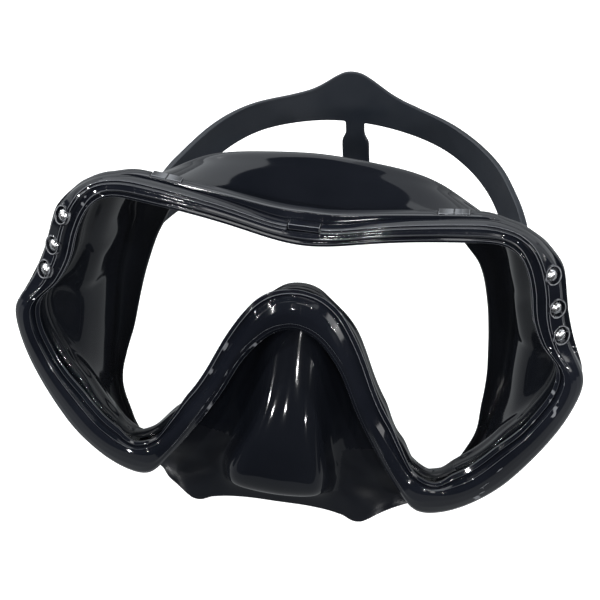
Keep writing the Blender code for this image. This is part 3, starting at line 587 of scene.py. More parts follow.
def polished_steel():
    """Bright stud heads: mirror polish with faint swirls and dull specks."""
    f = Finish("polished_steel_look")
    f.set(Metallic=1.0)
    f.link(f.ramp(f.noise(300, 4), (0.3, (0.76, 0.77, 0.79)), (0.75, (0.86, 0.87, 0.89))), "Base Color")
    swirl = f.ramp(f.noise(1500, 3, 0.6, f.stretch((1, 0.3, 1))), (0.45, 0.23), (0.8, 0.33))
    f.link(swirl, "Roughness")
    f.bump(f.noise(2500, 2), 0.03, 0.00002)
    return f.done()


PLASTIC = gloss_plastic()
CLIP_LOOK = gloss_plastic("clip_plastic", False)
SKIRT_LOOK = gloss_silicone()
LIP_LOOK = gloss_silicone("satin_lip", (0.0045, 0.0055, 0.0082), (0.0080, 0.0092, 0.0128), (0.30, 0.42), 0.3)
STRAP_LOOK = satin_silicone()
GLASS = clear_glass()
BUCKLE_LOOK = grained_plastic()
STEEL = turned_steel()
POLISHED = polished_steel()


def put(made, finish, body, slot, *nodes):
    made.data.materials.clear()
    made.data.materials.append(finish)
    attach(made, body)
    if nodes:
        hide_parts(*nodes)
    return made


# ----------------------------------------------------------------------- bezel
# Four profiles of the bezel, from the lens edge out across its face, as corners
# (n = a + b * width, y = c + d * seam depth, radius).
PROFILES = {
    "top": (
        (0.2, 0, 5.1, 0, 0), (0.05, 0, 3.5, 0, 0.2), (0.95, 0, 3.15, 0, 0.22), (1.45, 0, 3.45, 0, 0.15),
        (0, 0.48, 1.7, 0, 0.5), (0, 0.65, 2.15, 0, 0.8), (0, 0.785, 2.3, 0, 0.18), (0, 0.86, 3.0, 0, 0.15),
        (0, 0.945, 2.8, 0, 0.18), (-0.05, 1, 3.5, 0, 0.2), (0, 1, 5.0, 0, 0.3), (0, 1, -1.2, 1, 0)),
    "ear": (
        (0.2, 0, 5.1, 0, 0), (0.05, 0, 3.5, 0, 0.2), (0.5, 0, 3.15, 0, 0.2), (1.1, 0, 3.6, 0, 0.2),
        (1.65, 0, 2.95, 0, 0.22), (3.2, 0, 3.8, 0, 0.9), (4.6, 0, 2.35, 0, 0.25), (5.0, 0, 2.65, 0, 0.15),
        (5.5, 0, 2.5, 0, 0.25), (0, 0.93, 5.1, 0, 0.5), (-0.1, 1, 7.0, 0, 0.5), (0, 1, -1.2, 1, 0)),
    "lobe": (
        (0.2, 0, 5.1, 0, 0), (0.05, 0, 3.9, 0, 0.2), (1.3, 0, 3.2, 0, 0.3), (2.0, 0, 4.1, 0, 0.35),
        (2.85, 0, 1.8, 0, 0.35), (3.9, 0, 1.42, 0, 0.5), (4.9, 0, 1.15, 0, 0.8), (3.0, 0.3, 1.9, 0, 3.0),
        (1.6, 0.6, 3.15, 0, 4.0), (0.4, 0.87, 4.9, 0, 2.5), (-0.1, 1, 6.6, 0, 0.5), (0, 1, -1.2, 1, 0)),
    "nose": (
        (0.2, 0, 5.1, 0, 0), (0.05, 0, 4.0, 0, 0.2), (1.1, 0, 3.2, 0, 0.3), (2.2, 0, 3.9, 0, 0.6),
        (3.5, 0, 1.9, 0, 0.75), (2.6, 0.22, 1.2, 0, 2.0), (1.6, 0.4, 0.9, 0, 3.0), (-3.0, 1, 1.2, 0, 0.15),
        (-2.75, 1, 1.65, 0, 0.12), (-1.6, 1, 2.0, 0, 0.25), (-0.3, 1, 3.15, 0, 0.4), (0, 1, -1.2, 1, 0)),
}
PROFILES = {name: np.array(rows, float) for name, rows in PROFILES.items()}


def bezel_width(k_or_u, w):
    """The face is a little narrower at the corners and under the lobes."""
    corner = 0.5 * smooth((k_or_u - 4.4) / 1.2) * (1 - smooth((k_or_u - 7.2) / 1.2))
    return w - corner - 0.8 * smooth((k_or_u - 18.5) / 1.5) * (1 - smooth((k_or_u - 22.3) / 1.5))


def bezel_line(u, w):
    """Corners (n, y, radius) of the bezel's face at a station."""
    w = bezel_width(u, w)
    leave, arrive, turn = smooth((u - 5.2) / 2.2), smooth((u - 11.6) / 2.2), smooth((u - 20.8) / 2.6)
    share = {"top": 1 - leave, "ear": leave * (1 - arrive), "lobe": arrive * (1 - turn), "nose": arrive * turn}
    total = np.zeros((len(PROFILES["top"]), 3))
    for name, weight in share.items():
        rows = PROFILES[name]
        total[:, 0] += weight * (rows[:, 0] + rows[:, 1] * w)
        total[:, 1] += weight * (rows[:, 2] + rows[:, 3] * seam_y(u))
        total[:, 2] += weight * rows[:, 4]
    over = 2.0 * smooth((u - 23.2) / 1.5) * (1 - smooth((u - 28.6) / 2))    # the lip reaches in beside the nose
    over -= 2.2 * smooth((u - 20) / 1.2) * (1 - smooth((u - 22.4) / 1.2))    # and draws back under the eyes
    over += 0.9 * smooth((u - 17) / 1.2) * (1 - smooth((u - 19.6) / 1.2)) + 0.4 * (1 - smooth((u - 4) / 1.5))
    total[:7, 0] -= over * np.array((1, 1, 0.85, 0.7, 0.4, 0.2, 0.05))
    return total


def rounded(corners):
    """Flat bands joined by rounded corners, with a close row beside each curve.
    The third number marks the crests of the narrow ridges, where a lighter base colour paints a highlight line."""
    p, radius = corners[:, :2], corners[:, 2]
    out, marks = [p[0]], [0.0]
    for i in range(1, len(p) - 1):
        before, after = p[i] - p[i - 1], p[i + 1] - p[i]
        a, b = np.hypot(*before), np.hypot(*after)
        before, after = before / a, after / b
        bend = math.acos(float(np.clip(before @ after, -1, 1)))
        t = min(radius[i] * math.tan(bend / 2), 0.42 * a, 0.42 * b)
        start, end = p[i] - before * t, p[i] + after * t
        out.append(start - before * min(0.06, 0.05 * a))
        for s in (0.0, 0.25, 0.5, 0.75, 1.0):
            out.append(start * (1 - s) ** 2 + 2 * p[i] * s * (1 - s) + end * s * s)
        out.append(end + after * min(0.06, 0.05 * b))
        crest = float(before[0] * after[1] - before[1] * after[0] > 0)
        crest *= float(smooth((0.65 - radius[i]) / 0.3) * smooth((bend - 0.25) / 0.4))
        marks += [0.0, 0.0, 0.8 * crest, crest, 0.8 * crest, 0.0, 0.0]
    out.append(p[-1])
    marks.append(0.0)
    return np.column_stack([np.array(out), marks])


def bezel_points(k):
    u, w = RING_U[k], RING_W[k]
    face = rounded(bezel_line(u, w))[:, :2]
    wide = bezel_width(u, w)
    under = np.array(((wide - 0.12, seam_y(u) - 0.12), (wide - 0.45, seam_y(u)), (4.2, 8.0), (4.2, 5.05)))
    return [on_column(k, n, y) for n, y in np.concatenate([face, under])]


def ear_spot(u, across):
    """Point and outward normal on the face of an ear."""

    def on(v, a):
        _, _, w = column(v)
        line = rounded(bezel_line(v, w))
        tail = line[int(np.nonzero(line[:, 0] <= 0.6 * w)[0][-1]):]
        return Vector(at_station(v, a * w, float(np.interp(a * w, tail[:, 0], tail[:, 1]))))

    along = on(u + 0.2, across) - on(u - 0.2, across)
    out = on(u, across + 0.1) - on(u, across - 0.1)
    normal = along.cross(out).normalized()
    return on(u, across), -normal if normal.y > 0 else normal


bm = loft([bezel_points(k) for k in range(COLUMNS)])
# Painted highlight lines: each ridge crest is marked for a lighter base colour, faded to about a third round the
# lobes.
marks = []
for k in range(COLUMNS):
    fade = 1 - 0.65 * smooth((RING_U[k] - 12.5) / 1.5) * (1 - smooth((RING_U[k] - 22.5) / 1.5))
    marks.append(list(fade * rounded(bezel_line(RING_U[k], RING_W[k]))[:, 2]) + [0.0] * 4)
ridge_highlight = bm.verts.layers.float.new("ridge_highlight")
for vert, mark in zip(bm.verts, np.concatenate(marks)):
    vert[ridge_highlight] = float(mark)
bezel = mesh_object("front_frame_shell", bm, sharp=55)
cuts, collars = bmesh.new(), bmesh.new()
stud_spots = {}
for side_name, side in (("right", 1), ("left", -1)):
    for number, u in enumerate(STUD_STATIONS, 1):
        point, normal = ear_spot(u, STUD_ACROSS + 0.05 * side)
        point.x *= side
        normal.x *= side
        stud_spots[f"stud_{side_name}_{number}"] = (point, normal)
        lathe(collars, (
            (0, 0.32), (RECESS_R + 0.26, 0.32), (RECESS_R + 0.42, 0.27), (RECESS_R + 0.54, 0.14), (RECESS_R + 0.60, -0.1),
            (RECESS_R + 0.60, -1.0), (0, -1.0)), point, normal, 48)
        lathe(cuts, (
            (0, 3.0), (RECESS_R + 0.22, 3.0), (RECESS_R + 0.20, 0.33), (RECESS_R + 0.08, 0.24), (RECESS_R, 0.05),
            (RECESS_R, -RECESS_DEPTH), (0, -RECESS_DEPTH)), point, normal, 48)
clip_top = OUTLINE[0][3] + 0.1
block(cuts, (-CLIP_HALF - GAP, CLIP_HALF + GAP), (2.0, 9.0), (clip_top - CLIP_TALL - GAP, clip_top + 3))
boolean(bezel, mesh_object("collars", collars), "UNION")
boolean(bezel, mesh_object("cuts", cuts), "DIFFERENCE")
shade(bezel, 42)
put(bezel, PLASTIC, "mask", "gloss_black", "front_frame")

for name, (point, normal) in stud_spots.items():
    bm = bmesh.new()
    dome = [((STUD_R + 0.15) * math.sin(a), -1.1 + 1.5 * math.cos(a)) for a in np.linspace(0, math.pi / 2, 16)]
    dome[0] = (0, 0.4)
    lathe(bm, dome + [(STUD_R + 0.2, -1.16), (STUD_R + 0.2, -1.35), (0, -1.35)], point, normal, 48)
    put(mesh_object(name + "_dome", bm, sharp=50), POLISHED, "mask", "polished_steel", name)

bm = bmesh.new()
block(bm, (-CLIP_HALF, CLIP_HALF), (3.4, SEAM_Y - 0.1), (clip_top - CLIP_TALL, clip_top + 0.15))
bm.normal_update()
bmesh.ops.inset_individual(bm, faces=bm.faces[:], thickness=0.3, depth=0)
clip = mesh_object("centre_clip_tab", bm, sharp=30)
bevel(clip, 0.14, 1)
mark_edge_highlights(clip)
shade(clip, 45)
put(clip, CLIP_LOOK, "mask", "gloss_black", "centre_clip")


# ------------------------------------------------------------------------ lens
def lens_piece():
    bm = bmesh.new()
    loops = []
    for n, y in ((LENS_TUCK - 0.3, LENS_FRONT), (LENS_TUCK, LENS_FRONT + 0.3), (LENS_TUCK, LENS_BACK - 0.3), (LENS_TUCK - 0.3, LENS_BACK)):
        loops.append([bm.verts.new(on_column(k, n, y)) for k in range(0, COLUMNS, 2)])
    for a, b in zip(loops, loops[1:]):
        for k in range(len(a)):
            m = (k + 1) % len(a)
            bm.faces.new((a[k], a[m], b[m], b[k]))
    bm.faces.new(loops[0])
    bm.faces.new(loops[-1])
    return mesh_object("lens_glass", bm, sharp=20)


lens = put(lens_piece(), GLASS, "mask", "clear_glass", "lens")


# ------------------------------------------------------------------ rear frame
def rear_points(k):
    u, w = RING_U[k], RING_W[k]
    wide = w + float(keyed(REAR_PROUD, u)[0]) - 1.6 * float(smooth((u - 4.4) / 1.2) * (1 - smooth((u - 7.4) / 1.2)))
    back = seam_y(u)

    def seam(n):
        return SEAM_Y + (back - SEAM_Y) * (n - 4.2) / (w - 4.7) + 2.2 * GAP

    lip, wall = 3.0 + nose_tuck(u), 4.9 + nose_tuck(u)
    front = min(seam(wide), back + 2.2 * GAP)
    rim = REAR_FRAME_BACK + FLANK_DEPTH * float(flank(u))
    turn = min(wide - 0.1, w - 0.5)
    start = max(turn + 0.02, wide - 0.4)
    profile = (
        (lip, 11.9), (wall, 11.9), (wall, seam(wall)), (turn, seam(turn)), (start, front), (max(start + 0.02, wide - 0.11), front + 0.11),
        (wide, front + 0.42), (wide, rim - 0.9), (wide - 0.11, rim - 0.42), (wide - 0.42, rim - 0.11), (wide - 0.9, rim),
        (wide - 2.3, rim), (wide - 2.6, rim - 0.08 * (rim - REAR_FRAME_BACK)), (wide - 2.9, REAR_FRAME_BACK),
        (lip + 0.3, REAR_FRAME_BACK), (lip, REAR_FRAME_BACK - 0.3),
    )
    return [on_column(k, n, y) for n, y in profile]


def lug_piece(side):
    """The lug stands on the back of the ring, then steps in to the pivot."""
    bm = bmesh.new()
    plan = (
        (LUG_ROOT_X[0], REAR_FRAME_BACK - 0.9), (LUG_ROOT_X[1], REAR_FRAME_BACK - 0.9), (LUG_ROOT_X[1], 15.6),
        (LUG_X[1], 22.8), (LUG_X[1], PIVOT_Y), (LUG_X[0], PIVOT_Y), (LUG_X[0], 22.6), (LUG_ROOT_X[0], 16.6),
    )
    ends = [[bm.verts.new((side * x, y, z)) for x, y in plan] for z in (PIVOT_Z - LUG_R, PIVOT_Z + LUG_R)]
    bm.faces.new(ends[0])
    bm.faces.new(ends[1])
    for k in range(len(plan)):
        m = (k + 1) % len(plan)
        bm.faces.new((ends[0][k], ends[0][m], ends[1][m], ends[1][k]))
    made = mesh_object("lug", bm)
    bm = bmesh.new()
    middle = side * sum(LUG_X) / 2
    half = (LUG_X[1] - LUG_X[0]) / 2
    lathe(bm, ((0, half), (LUG_R - 0.5, half), (LUG_R - 0.15, half - 0.15), (LUG_R, half - 0.5), (LUG_R, -half + 0.5),
               (LUG_R - 0.15, -half + 0.15), (LUG_R - 0.5, -half), (0, -half)), (middle, PIVOT_Y, PIVOT_Z), (1, 0, 0), 56)
    eye = mesh_object("eye", bm)
    bevel(made, 0.45, 3)
    boolean(made, eye, "UNION")
    bm = bmesh.new()
    lathe(bm, ((0, 8), (PIN_HOLE_R, 8), (PIN_HOLE_R, -8), (0, -8)), (middle, PIVOT_Y, PIVOT_Z), (1, 0, 0), 40)
    boolean(made, mesh_object("bore", bm), "DIFFERENCE")
    return made


def rear_edge(u):
    return Vector(at_station(u, column(u)[2] + float(keyed(REAR_PROUD, u)[0]), 0))


def along_edge(side):
    """Maps a box about the middle of its top edge onto the frame's top edge."""
    rise = rear_edge(CLIP_U + 0.3) - rear_edge(CLIP_U - 0.3)
    angle = math.atan2(rise.z, rise.x)
    at = rear_edge(CLIP_U)

    def place(p):
        return Vector((side * (p.x * math.cos(angle) - p.z * math.sin(angle) + at.x), p.y, p.x * math.sin(angle) + p.z * math.cos(angle) + at.z))

    return place


rear = mesh_object("rear_frame_ring", loft([rear_points(k) for k in range(0, COLUMNS, 2)]), sharp=45)
for side in (1, -1):
    boolean(rear, lug_piece(side), "UNION")
bm = bmesh.new()
for side in (1, -1):
    block(bm, (-4.8 - 0.4, 4.8 + 0.4), (9.5, 16.0), (-1.5 - GAP, 3), along_edge(side))
boolean(rear, mesh_object("pockets", bm), "DIFFERENCE")
shade(rear, 40)
put(rear, PLASTIC, "mask", "gloss_black", "rear_frame")

for side_name, side in (("right", 1), ("left", -1)):
    bm = bmesh.new()
    block(bm, (-4.8, 4.8), (9.5 + GAP, REAR_FRAME_BACK), (-1.5, 0.3), along_edge(side))
    bm.normal_update()
    bmesh.ops.inset_individual(bm, faces=bm.faces[:], thickness=0.3, depth=0)
    snap = mesh_object(f"clip_{side_name}_tab", bm)
    bm = bmesh.new()
    block(bm, (-0.22, 0.22), (9, 16), (-0.75, 1), along_edge(side))
    boolean(snap, mesh_object("groove", bm), "DIFFERENCE")
    bevel(snap, 0.14, 1)
    mark_edge_highlights(snap)
    shade(snap, 45)
    put(snap, CLIP_LOOK, "mask", "gloss_black", f"clip_{side_name}")


# ----------------------------------------------------------------------- skirt
def skirt_rows(k):
    """Middle of the silicone on one column, from the lens flange to the seal."""
    u, side = RING_U[k], RING_SIDE[k]
    tuck = nose_tuck(u)
    low = float(smooth((u - 16.5) / 2.5))
    low += 1.9 * float(smooth((u - 20) / 1.2) * (1 - smooth((u - 22.3) / 1.2)))
    low -= 1.2 * float(smooth((u - 16.8) / 1.2) * (1 - smooth((u - 19.5) / 1.2)))
    beside = float(smooth((u - 23.8) / 1.3) * (1 - smooth((u - 27.3) / 2.4)))

    def wall(n):
        return n * (1 - beside) + 0.4 * beside

    rows = [on_column(k, FLANGE_TUCK + tuck, FLANGE_Y), on_column(k, wall(1.1 + tuck + 0.9 * low), FLANGE_Y),
            on_column(k, wall(1.0 + tuck + 1.0 * low), 13.4), on_column(k, wall(1.1 + tuck + 1.4 * low), 16.2)]

    def sealed(v):
        shoulder, edge = keyed(SEAL, v)
        start = at_station(v, 1.2, 16.2)
        early = smooth((v - 5) / 3) * (1 - smooth((v - 15) / 4))
        brow = 1 - smooth((v - 4) / 4)
        wall = []
        for j in range(1, 7):
            t = j / 6
            plain = (1 - (1 - t) ** 1.3) * brow + smooth(t) * (1 - brow)
            ease = plain * (1 - early) + (1 - (1 - t) ** 4.3) * early
            wall.append(start + (shoulder - start) * np.array((ease, t, ease)))
        roll = shoulder * 0.72 + edge * 0.28
        roll[1] = max(shoulder[1], edge[1]) + 1.6
        return wall + [roll, edge]

    if u <= 19:
        far = sealed(u)
    elif u >= 20:
        far = list(keyed(NOSE, u))
    else:
        t = smooth(u - 19)
        far = [(1 - t) * np.array(a) + t * np.array(b) for a, b in zip(sealed(19), keyed(NOSE, 20))]
    return np.array(rows + [(side * p[0], p[1], p[2]) for p in far])


def skirt_piece():
    rows = np.array([skirt_rows(k) for k in range(COLUMNS)])
    for j in range(4, rows.shape[1]):
        rows[:, j] = ease_ring(rows[:, j], (0.75 if j < rows.shape[1] - 1 else 0.06) * PER)
    tall = rows[:, :, 2].copy()
    sway = 1.2 * smooth((9 - tall) / 9) - 1.7 * smooth((-35 - tall) / 20)    # the soft seal leans to one side
    rows[:, :, 2] += 0.014 * rows[:, :, 0] * smooth((tall - 15) / 15) * smooth((rows[:, :, 1] - 18) / 12)
    rows[:, :, 0] += sway * smooth((rows[:, :, 1] - 20) / 25) - (0.9 + 1.7 * smooth((4 - rows[:, :, 0]) / 20)) * smooth((-45 - tall) / 20) * smooth((24 - rows[:, :, 1]) / 8)
    dent = smooth((tall + 17) / 5) * (1 - smooth((tall + 3) / 5)) * smooth((rows[:, :, 1] - 16.3) / 2.5) * (1 - smooth((rows[:, :, 1] - 26) / 5))
    rows[:, :, 0] -= 1.0 * np.sign(rows[:, :, 0]) * dent    # clear of the buckles when the strap swings up
    sheet = np.array([natural(line, 6) for line in rows])
    bm = loft(sheet[::1], closed_section=False)
    made = mesh_object("skirt_moulding", bm, sharp=0)
    count = sheet.shape[1]
    group = made.vertex_groups.new(name="thickness")
    tip = np.clip((count - 1 - np.arange(count)) / 7.0, 0, 1)
    spots = {}
    for j in range(count):
        spots[j] = 0.42 + 0.58 * float(smooth(tip[j]))
    for index in range(len(made.data.vertices)):
        turn_u = float(RING_U[index // count])
        slim = 0.3 * float(smooth((turn_u - 16.5) / 2.5)) * (1 - float(smooth((index % count - 14) / 8)))
        group.add([index], spots[index % count] - slim, "REPLACE")
    thick = made.modifiers.new("thickness", "SOLIDIFY")
    thick.thickness = SKIRT_THICK * 0.001
    thick.offset = 0
    thick.vertex_group = "thickness"
    thick.thickness_vertex_group = 0.0
    bake(made)
    made.vertex_groups.clear()
    shade(made, 60)
    return made


skirt = put(skirt_piece(), SKIRT_LOOK, "mask", "black_silicone", "skirt")
skirt.data.materials.append(LIP_LOOK)
turned_up = (np.array([f.center[:] for f in skirt.data.polygons]) * 1000 - STAND)
tall = -turned_up[:, 1] * -math.sin(LEAN) + turned_up[:, 2] * math.cos(LEAN)
deep = turned_up[:, 1] * math.cos(LEAN) - turned_up[:, 2] * math.sin(LEAN)
for face, x, z, y in zip(skirt.data.polygons, turned_up[:, 0], tall, deep):
    if y > 9.5 and (z < -73.2 or (z < -57 and abs(x) > 18.5)):
        face.material_index = 1


# ----------------------------------------------------------------------- strap
def strap_line(steps=5):
    """Plan of the right half as (x, y, distance from the middle of the back)."""
    plan = np.array(STRAP_PLAN, float)
    ghost = np.array([[-plan[1][0], plan[1][1]]])
    line = list(catmull(np.concatenate([ghost, plan]), steps)[steps:])
    fold = ROLLER_X - plan[-1][0]
    for k in range(1, 13):
        a = math.pi + math.pi * k / 12
        line.append(np.array((ROLLER_X + fold * math.cos(a), ROLLER_Y + fold * math.sin(a))))
    line += list(catmull(STRAP_TAIL, 3)[1:])
    end, start = np.array(TAIL_END), line[-1]
    line += [start + (end - start) * f for f in (0.25, 0.5, 0.75, 0.95, 1.0)]
    far = [0.0]
    for a, b in zip(line, line[1:]):
        far.append(far[-1] + float(np.hypot(*(b - a))))
    return [(float(p[0]), float(p[1]), d) for p, d in zip(line, far)]


def strap_middle(d):
    return PIVOT_Z + STRAP_RISE * (1 - min(d / STRAP_LEVEL, 1) ** 6) ** 1.3


def strap_half(d):
    fuller = 1.3 * float(smooth((d - 10) / 15)) * (1 - float(smooth((d - 85) / 30)))
    return STRAP_HALF + STRAP_SPREAD * float(smooth(1 - d / 125)) + STRAP_BUMP * math.exp(-(d / 14.5) ** 2) + fuller


def arch(d):
    return STRAP_ARCH * float(smooth((d - 62) / 20)) * (1 - float(smooth((d - 108) / 14)))


def slot_half(d, up):
    return SLOT_HALF * (1 - (d / SLOT_LENGTH) ** (1.75 if up > 0 else 3.2)) if d < SLOT_LENGTH else 0.0


def strap_piece():
    bm = bmesh.new()
    line = strap_line()
    run = max(d for x, y, d in line if x < ROLLER_X)
    last = line[-1][2]

    def on_line(d):
        for a, b in zip(line, line[1:]):
            if a[2] <= d <= b[2]:
                t = (d - a[2]) / (b[2] - a[2])
                return a[0] + (b[0] - a[0]) * t, a[1] + (b[1] - a[1]) * t
        return line[-1][0], line[-1][1]

    near = (0.0, BAR_HALF * 0.72, BAR_HALF)
    distances = list(near) + [d for _, _, d in line if BAR_HALF + 1 < d < SLOT_LENGTH - 1.5] + [SLOT_LENGTH]
    distances += [d for _, _, d in line if d > SLOT_LENGTH + 1.5]
    shares = (0, 0.07, 0.3, 0.5, 0.7, 0.93, 1)

    def point(d, height, side):
        x, y = on_line(d)
        lean = STRAP_ROLL * height * float(smooth((y - 100) / 40))
        aside = (STRAP_SWAY - 1.3 * float(smooth(1 - d / 30))) * float(smooth((y - LEVER_END_Y - 1) / 25)) - lean if d < run else 0.0
        return bm.verts.new((side * x + aside, y, strap_middle(d) + height))

    for side in (1, -1):
        for up in (1, -1):
            columns = []
            for d in distances:
                low, high = slot_half(d, up), strap_half(d) - (arch(d) if up < 0 else 0.0)
                if up > 0:
                    high += 1.4 * float(smooth((d - 88) / 14)) * (1 - float(smooth((d - 124) / 12)))
                if d > last - 2.5:
                    high -= 1.6 * ((d - last + 2.5) / 2.5) ** 2
                columns.append([point(d, up * (low + (high - low) * f), side) for f in shares])
            for a, b in zip(columns, columns[1:]):
                for k in range(len(shares) - 1):
                    bm.faces.new((a[k], a[k + 1], b[k + 1], b[k]))
            bar = []
            for k in range(10):
                h = slot_half(0, up) * (1 - k / 9)
                edge = BAR_HALF + BAR_FLARE * float(smooth((k / 9 - 0.35) / 0.25))
                bar.append([point(edge * f, up * (h if k else slot_half(BAR_HALF * f, up)), side) for f in (0, 0.72, 1)])
            for a, b in zip(bar, bar[1:]):
                for j in (0, 1):
                    bm.faces.new((a[j], a[j + 1], b[j + 1], b[j]))
    made = mesh_object("strap_band", bm, sharp=0)
    thick = made.modifiers.new("thickness", "SOLIDIFY")
    thick.thickness = STRAP_THICK * 0.001
    thick.offset = 0
    thick.edge_crease_inner = thick.edge_crease_outer = 0.55
    rounded = made.modifiers.new("rounded", "SUBSURF")
    rounded.levels = rounded.render_levels = 2
    bake(made)
    shade(made, 0)
    return made


put(strap_piece(), STRAP_LOOK, "strap_assembly", "strap_silicone", "strap")


# ------------------------------------------------------------ buckle hardware
def softened(node, name, width, segments=3):
    """A copy of a CAD piece with its edges rounded."""
    bm = bmesh.new()
    bm.from_mesh(frame["nodes"][node].data)
    bmesh.ops.remove_doubles(bm, verts=bm.verts, dist=2e-6)
    bmesh.ops.dissolve_limit(bm, angle_limit=math.radians(2), verts=bm.verts, edges=bm.edges)
    made = mesh_object(name, bm, in_mask_axes=False)
    bevel(made, width, segments, 40)
    shade(made, 40)
    return made


for side_name, side in (("right", 1), ("left", -1)):
    put(softened(f"buckle_{side_name}", f"buckle_{side_name}_body", 0.35), BUCKLE_LOOK, "strap_assembly", "buckle_plastic", f"buckle_{side_name}")
    put(softened(f"release_lever_{side_name}", f"release_lever_{side_name}_body", 0.22), BUCKLE_LOOK, f"lever_{side_name}", "buckle_plastic", f"release_lever_{side_name}")

    bm = bmesh.new()
    lathe(bm, ((0, 0.9), (1.0, 0.87), (1.8, 0.75), (2.6, 0.52), (3.05, 0.30), (3.2, 0.14), (3.16, 0.02), (3.05, 0.0), (PIN_R, 0.0),
               (PIN_R, -9.2), (PIN_R - 0.35, -9.6), (0, -9.6)), (side * (CHEEK_OUT_X[1] + 0.3), PIVOT_Y, PIVOT_Z), (side, 0, 0))
    put(mesh_object(f"pivot_pin_{side_name}_turned", bm, sharp=45), STEEL, "mask", "steel", f"pivot_pin_{side_name}")

    bm = bmesh.new()
    middle = side * (CHEEK_IN_X[0] - 0.65)
    rim = [(PIN_R + 0.15, 0.28), (PIN_R + 0.22, 0.35), (3.15, 0.35), (3.3, 0.2), (3.3, -0.2), (3.15, -0.35), (PIN_R + 0.22, -0.35), (PIN_R + 0.15, -0.28)]
    lathe(bm, rim + rim[:1], (middle, PIVOT_Y, PIVOT_Z), (1, 0, 0))
    put(mesh_object(f"pivot_washer_{side_name}_ring", bm, sharp=35), STEEL, "mask", "steel", f"pivot_washer_{side_name}")

    bm = bmesh.new()
    half = [(0, 13.0), (JOURNAL_R - 0.25, 13.0), (JOURNAL_R, 12.75), (JOURNAL_R, 10.1), (ROLLER_R - 0.25, 10.1), (ROLLER_R, 9.85)]
    lathe(bm, half + [(r, -h) for r, h in half[::-1]], (side * ROLLER_X, ROLLER_Y, PIVOT_Z), (0, 0, 1))
    put(mesh_object(f"strap_roller_{side_name}_turned", bm, sharp=45), STEEL, f"roller_{side_name}", "steel", f"strap_roller_{side_name}")

    bm = bmesh.new()
    half = [(0, 13.0), (LEVER_PIN_R - 0.2, 13.0), (LEVER_PIN_R, 12.8)]
    lathe(bm, half + [(r, -h) for r, h in half[::-1]], (side * LEVER_X, LEVER_Y, PIVOT_Z), (0, 0, 1), 32)
    put(mesh_object(f"lever_pin_{side_name}_turned", bm, sharp=45), STEEL, "strap_assembly", "steel", f"lever_pin_{side_name}")

    coil_r, turns, per = 1.4, 3.25, 28
    path = []
    for k in range(int(turns * per) + 1):
        a = math.pi + 2 * math.pi * k / per
        path.append((side * (LEVER_X + coil_r * math.cos(a)), LEVER_Y + coil_r * math.sin(a), PIVOT_Z - 2.2 + 4.4 * k / (turns * per)))
    path.insert(0, (path[0][0], HUB_Y[1] - 0.2, path[0][2]))
    path.append((side * (LEVER_PLATE_X[0] - 0.35), LEVER_Y - coil_r + 0.1, path[-1][2]))
    bm = bmesh.new()
    sweep(bm, path, 0.18)
    put(mesh_object(f"lever_spring_{side_name}_wire", bm, sharp=50), STEEL, "strap_assembly", "steel", f"lever_spring_{side_name}")


# ---------------------------------------------------------- camera and studio
YAW, PITCH, ROLL = math.radians(5.74), math.radians(23.28), math.radians(5.10)
back = np.array((math.sin(YAW) * math.cos(PITCH), -math.cos(YAW) * math.cos(PITCH), math.sin(PITCH)))
flat = np.array((math.cos(YAW), math.sin(YAW), 0))
rise = np.cross(back, flat)
right = math.cos(ROLL) * flat + math.sin(ROLL) * rise
up = -math.sin(ROLL) * flat + math.cos(ROLL) * rise
eye = np.array((1.2, 0, 0)) + 466 * back
origin = world((0, 0, 0))
axes = [(world(v) - origin) * 1000 for v in (right, up, back)]
camera = bpy.data.objects.new("camera", bpy.data.cameras.new("camera"))
camera.data.lens = 90
camera.data.sensor_width = 36
camera.data.sensor_fit = "HORIZONTAL"
camera.data.clip_start = 0.02
camera.data.clip_end = 60
place = Matrix.Identity(4)
for k in range(3):
    for j in range(3):
        place[j][k] = axes[k][j]
for j, value in enumerate(world(eye)):
    place[j][3] = value
camera.matrix_world = place
bpy.context.scene.collection.objects.link(camera)
bpy.context.scene.camera = camera


def studio_white(name, glow, albedo, tint=(1, 1, 1)):
    made = bpy.data.materials.new(name)
    made.use_nodes = True
    tree = made.node_tree
    tree.nodes.clear()
    out = tree.nodes.new("ShaderNodeOutputMaterial")
    add = tree.nodes.new("ShaderNodeAddShader")
    light = tree.nodes.new("ShaderNodeEmission")
    light.inputs[0].default_value = (*tint, 1)
    light.inputs[1].default_value = glow
    matt = tree.nodes.new("ShaderNodeBsdfDiffuse")
    matt.inputs[0].default_value = (albedo, albedo, albedo, 1)
    tree.links.new(light.outputs[0], add.inputs[0])
    tree.links.new(matt.outputs[0], add.inputs[1])
    tree.links.new(add.outputs[0], out.inputs[0])
    return made


def staged(name, bm, finish):
    mesh = bpy.data.meshes.new(name)
    bm.to_mesh(mesh)
    bm.free()
    mesh.materials.append(finish)
    made = bpy.data.objects.new(name, mesh)
    bpy.context.scene.collection.objects.link(made)
    made.visible_glossy = False
    made.visible_diffuse = False
    made.visible_shadow = False
    return made


bm = bmesh.new()
bmesh.ops.create_circle(bm, cap_ends=True, segments=96, radius=6.0)
floor = staged("floor", bm, studio_white("floor_white", 0.92, 0.55))
floor.location.z = -0.0004
bm = bmesh.new()
bmesh.ops.create_uvsphere(bm, u_segments=64, v_segments=32, radius=9.0)
staged("backdrop", bm, studio_white("backdrop_white", 1.0, 0.0))


def card(name, bm, glow):
    """A white card that only the object's own surfaces see."""
    made = staged(name, bm, studio_white(name + "_white", glow, 0.0, (0.93, 0.97, 1.0)))
    made.visible_glossy = made.visible_diffuse = True
    made.visible_camera = made.visible_transmission = False
    return made


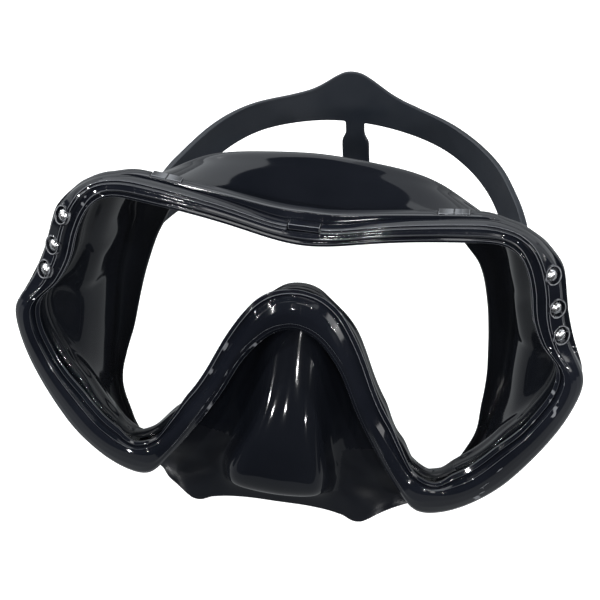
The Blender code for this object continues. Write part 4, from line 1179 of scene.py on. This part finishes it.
# The table top, and a paper sweep behind the mask that curves up from it.
bm = bmesh.new()
bmesh.ops.create_grid(bm, x_segments=2, y_segments=2, size=0.5)
table = card("table_card", bm, 0.32)
table.scale = (1.7, 1.0, 1.0)
table.location = (0, 0.35, -0.001)
for name, first, last, levels, glow in (
        ("sweep_foot", -74, 74, (0.0, 0.2, 0.4), 0.55),
        ("sweep_right", -2, 74, (0.4, 0.9, 1.6, 2.5, 3.6), 1.0),
        ("sweep_left", -74, 2, (0.4, 0.9, 1.6, 2.5, 3.6), 1.9)):
    bm = bmesh.new()
    arc = [math.radians(a) for a in range(first, last + 1, 4)]
    rows = [[bm.verts.new((1.15 * math.sin(a), 1.15 * math.cos(a), z)) for a in arc] for z in levels]
    for lower, upper in zip(rows, rows[1:]):
        for k in range(len(arc) - 1):
            bm.faces.new((lower[k], lower[k + 1], upper[k + 1], upper[k]))
    card(name, bm, glow)

studio = bpy.data.worlds.new("studio")
studio.use_nodes = True
studio.node_tree.nodes["Background"].inputs[0].default_value = (0.55, 0.57, 0.60, 1)
studio.node_tree.nodes["Background"].inputs[1].default_value = 0.06
bpy.context.scene.world = studio

CENTRE = Vector((0, -0.03, 0.07))


def lamp(name, azimuth, height, far, size, radiance, shape="DISK"):
    """An area light aimed at the mask.  Azimuth runs from the front (0) to the
    viewer's right (90); height is the angle above the floor."""
    a, h = math.radians(azimuth), math.radians(height)
    data = bpy.data.lights.new(name, "AREA")
    data.shape = shape
    data.size = size[0]
    data.size_y = size[1]
    area = size[0] * size[1] * (math.pi / 4 if shape in ("DISK", "ELLIPSE") else 1)
    data.energy = radiance * area * math.pi
    made = bpy.data.objects.new(name, data)
    toward = Vector((math.sin(a) * math.cos(h), -math.cos(a) * math.cos(h), math.sin(h)))
    made.location = CENTRE + toward * far
    made.rotation_euler = toward.to_track_quat("Z", "Y").to_euler()
    made.visible_camera = False
    bpy.context.scene.collection.objects.link(made)
    return made


# Small bright spots give the dots, a window and two panels the lines.
SPOTS = (
    (-85, 17), (-60, 19), (-33, 26), (-9, 30), (17, 40), (40, 22), (60, 30), (85, 20), (110, 12),
    (134, 71), (-137, 39), (-100, 31), (-112, 6), (-62, 43),
)
for k, (azimuth, height) in enumerate(SPOTS):
    lamp(f"spot_{k}", azimuth, height, 1.5, (0.045, 0.045), 650)
lamp("window", 10, 54, 1.4, (0.5, 0.35), 4.5, "RECTANGLE")
for name, azimuth, height, size, radiance in (
        ("side_right", 86, 26, (0.25, 0.6), 3.0), ("side_left", -86, 26, (0.25, 0.6), 3.0)):
    lamp(name, azimuth, height, 1.3, size, radiance, "RECTANGLE")

bpy.context.scene.view_settings.view_transform = "Standard"
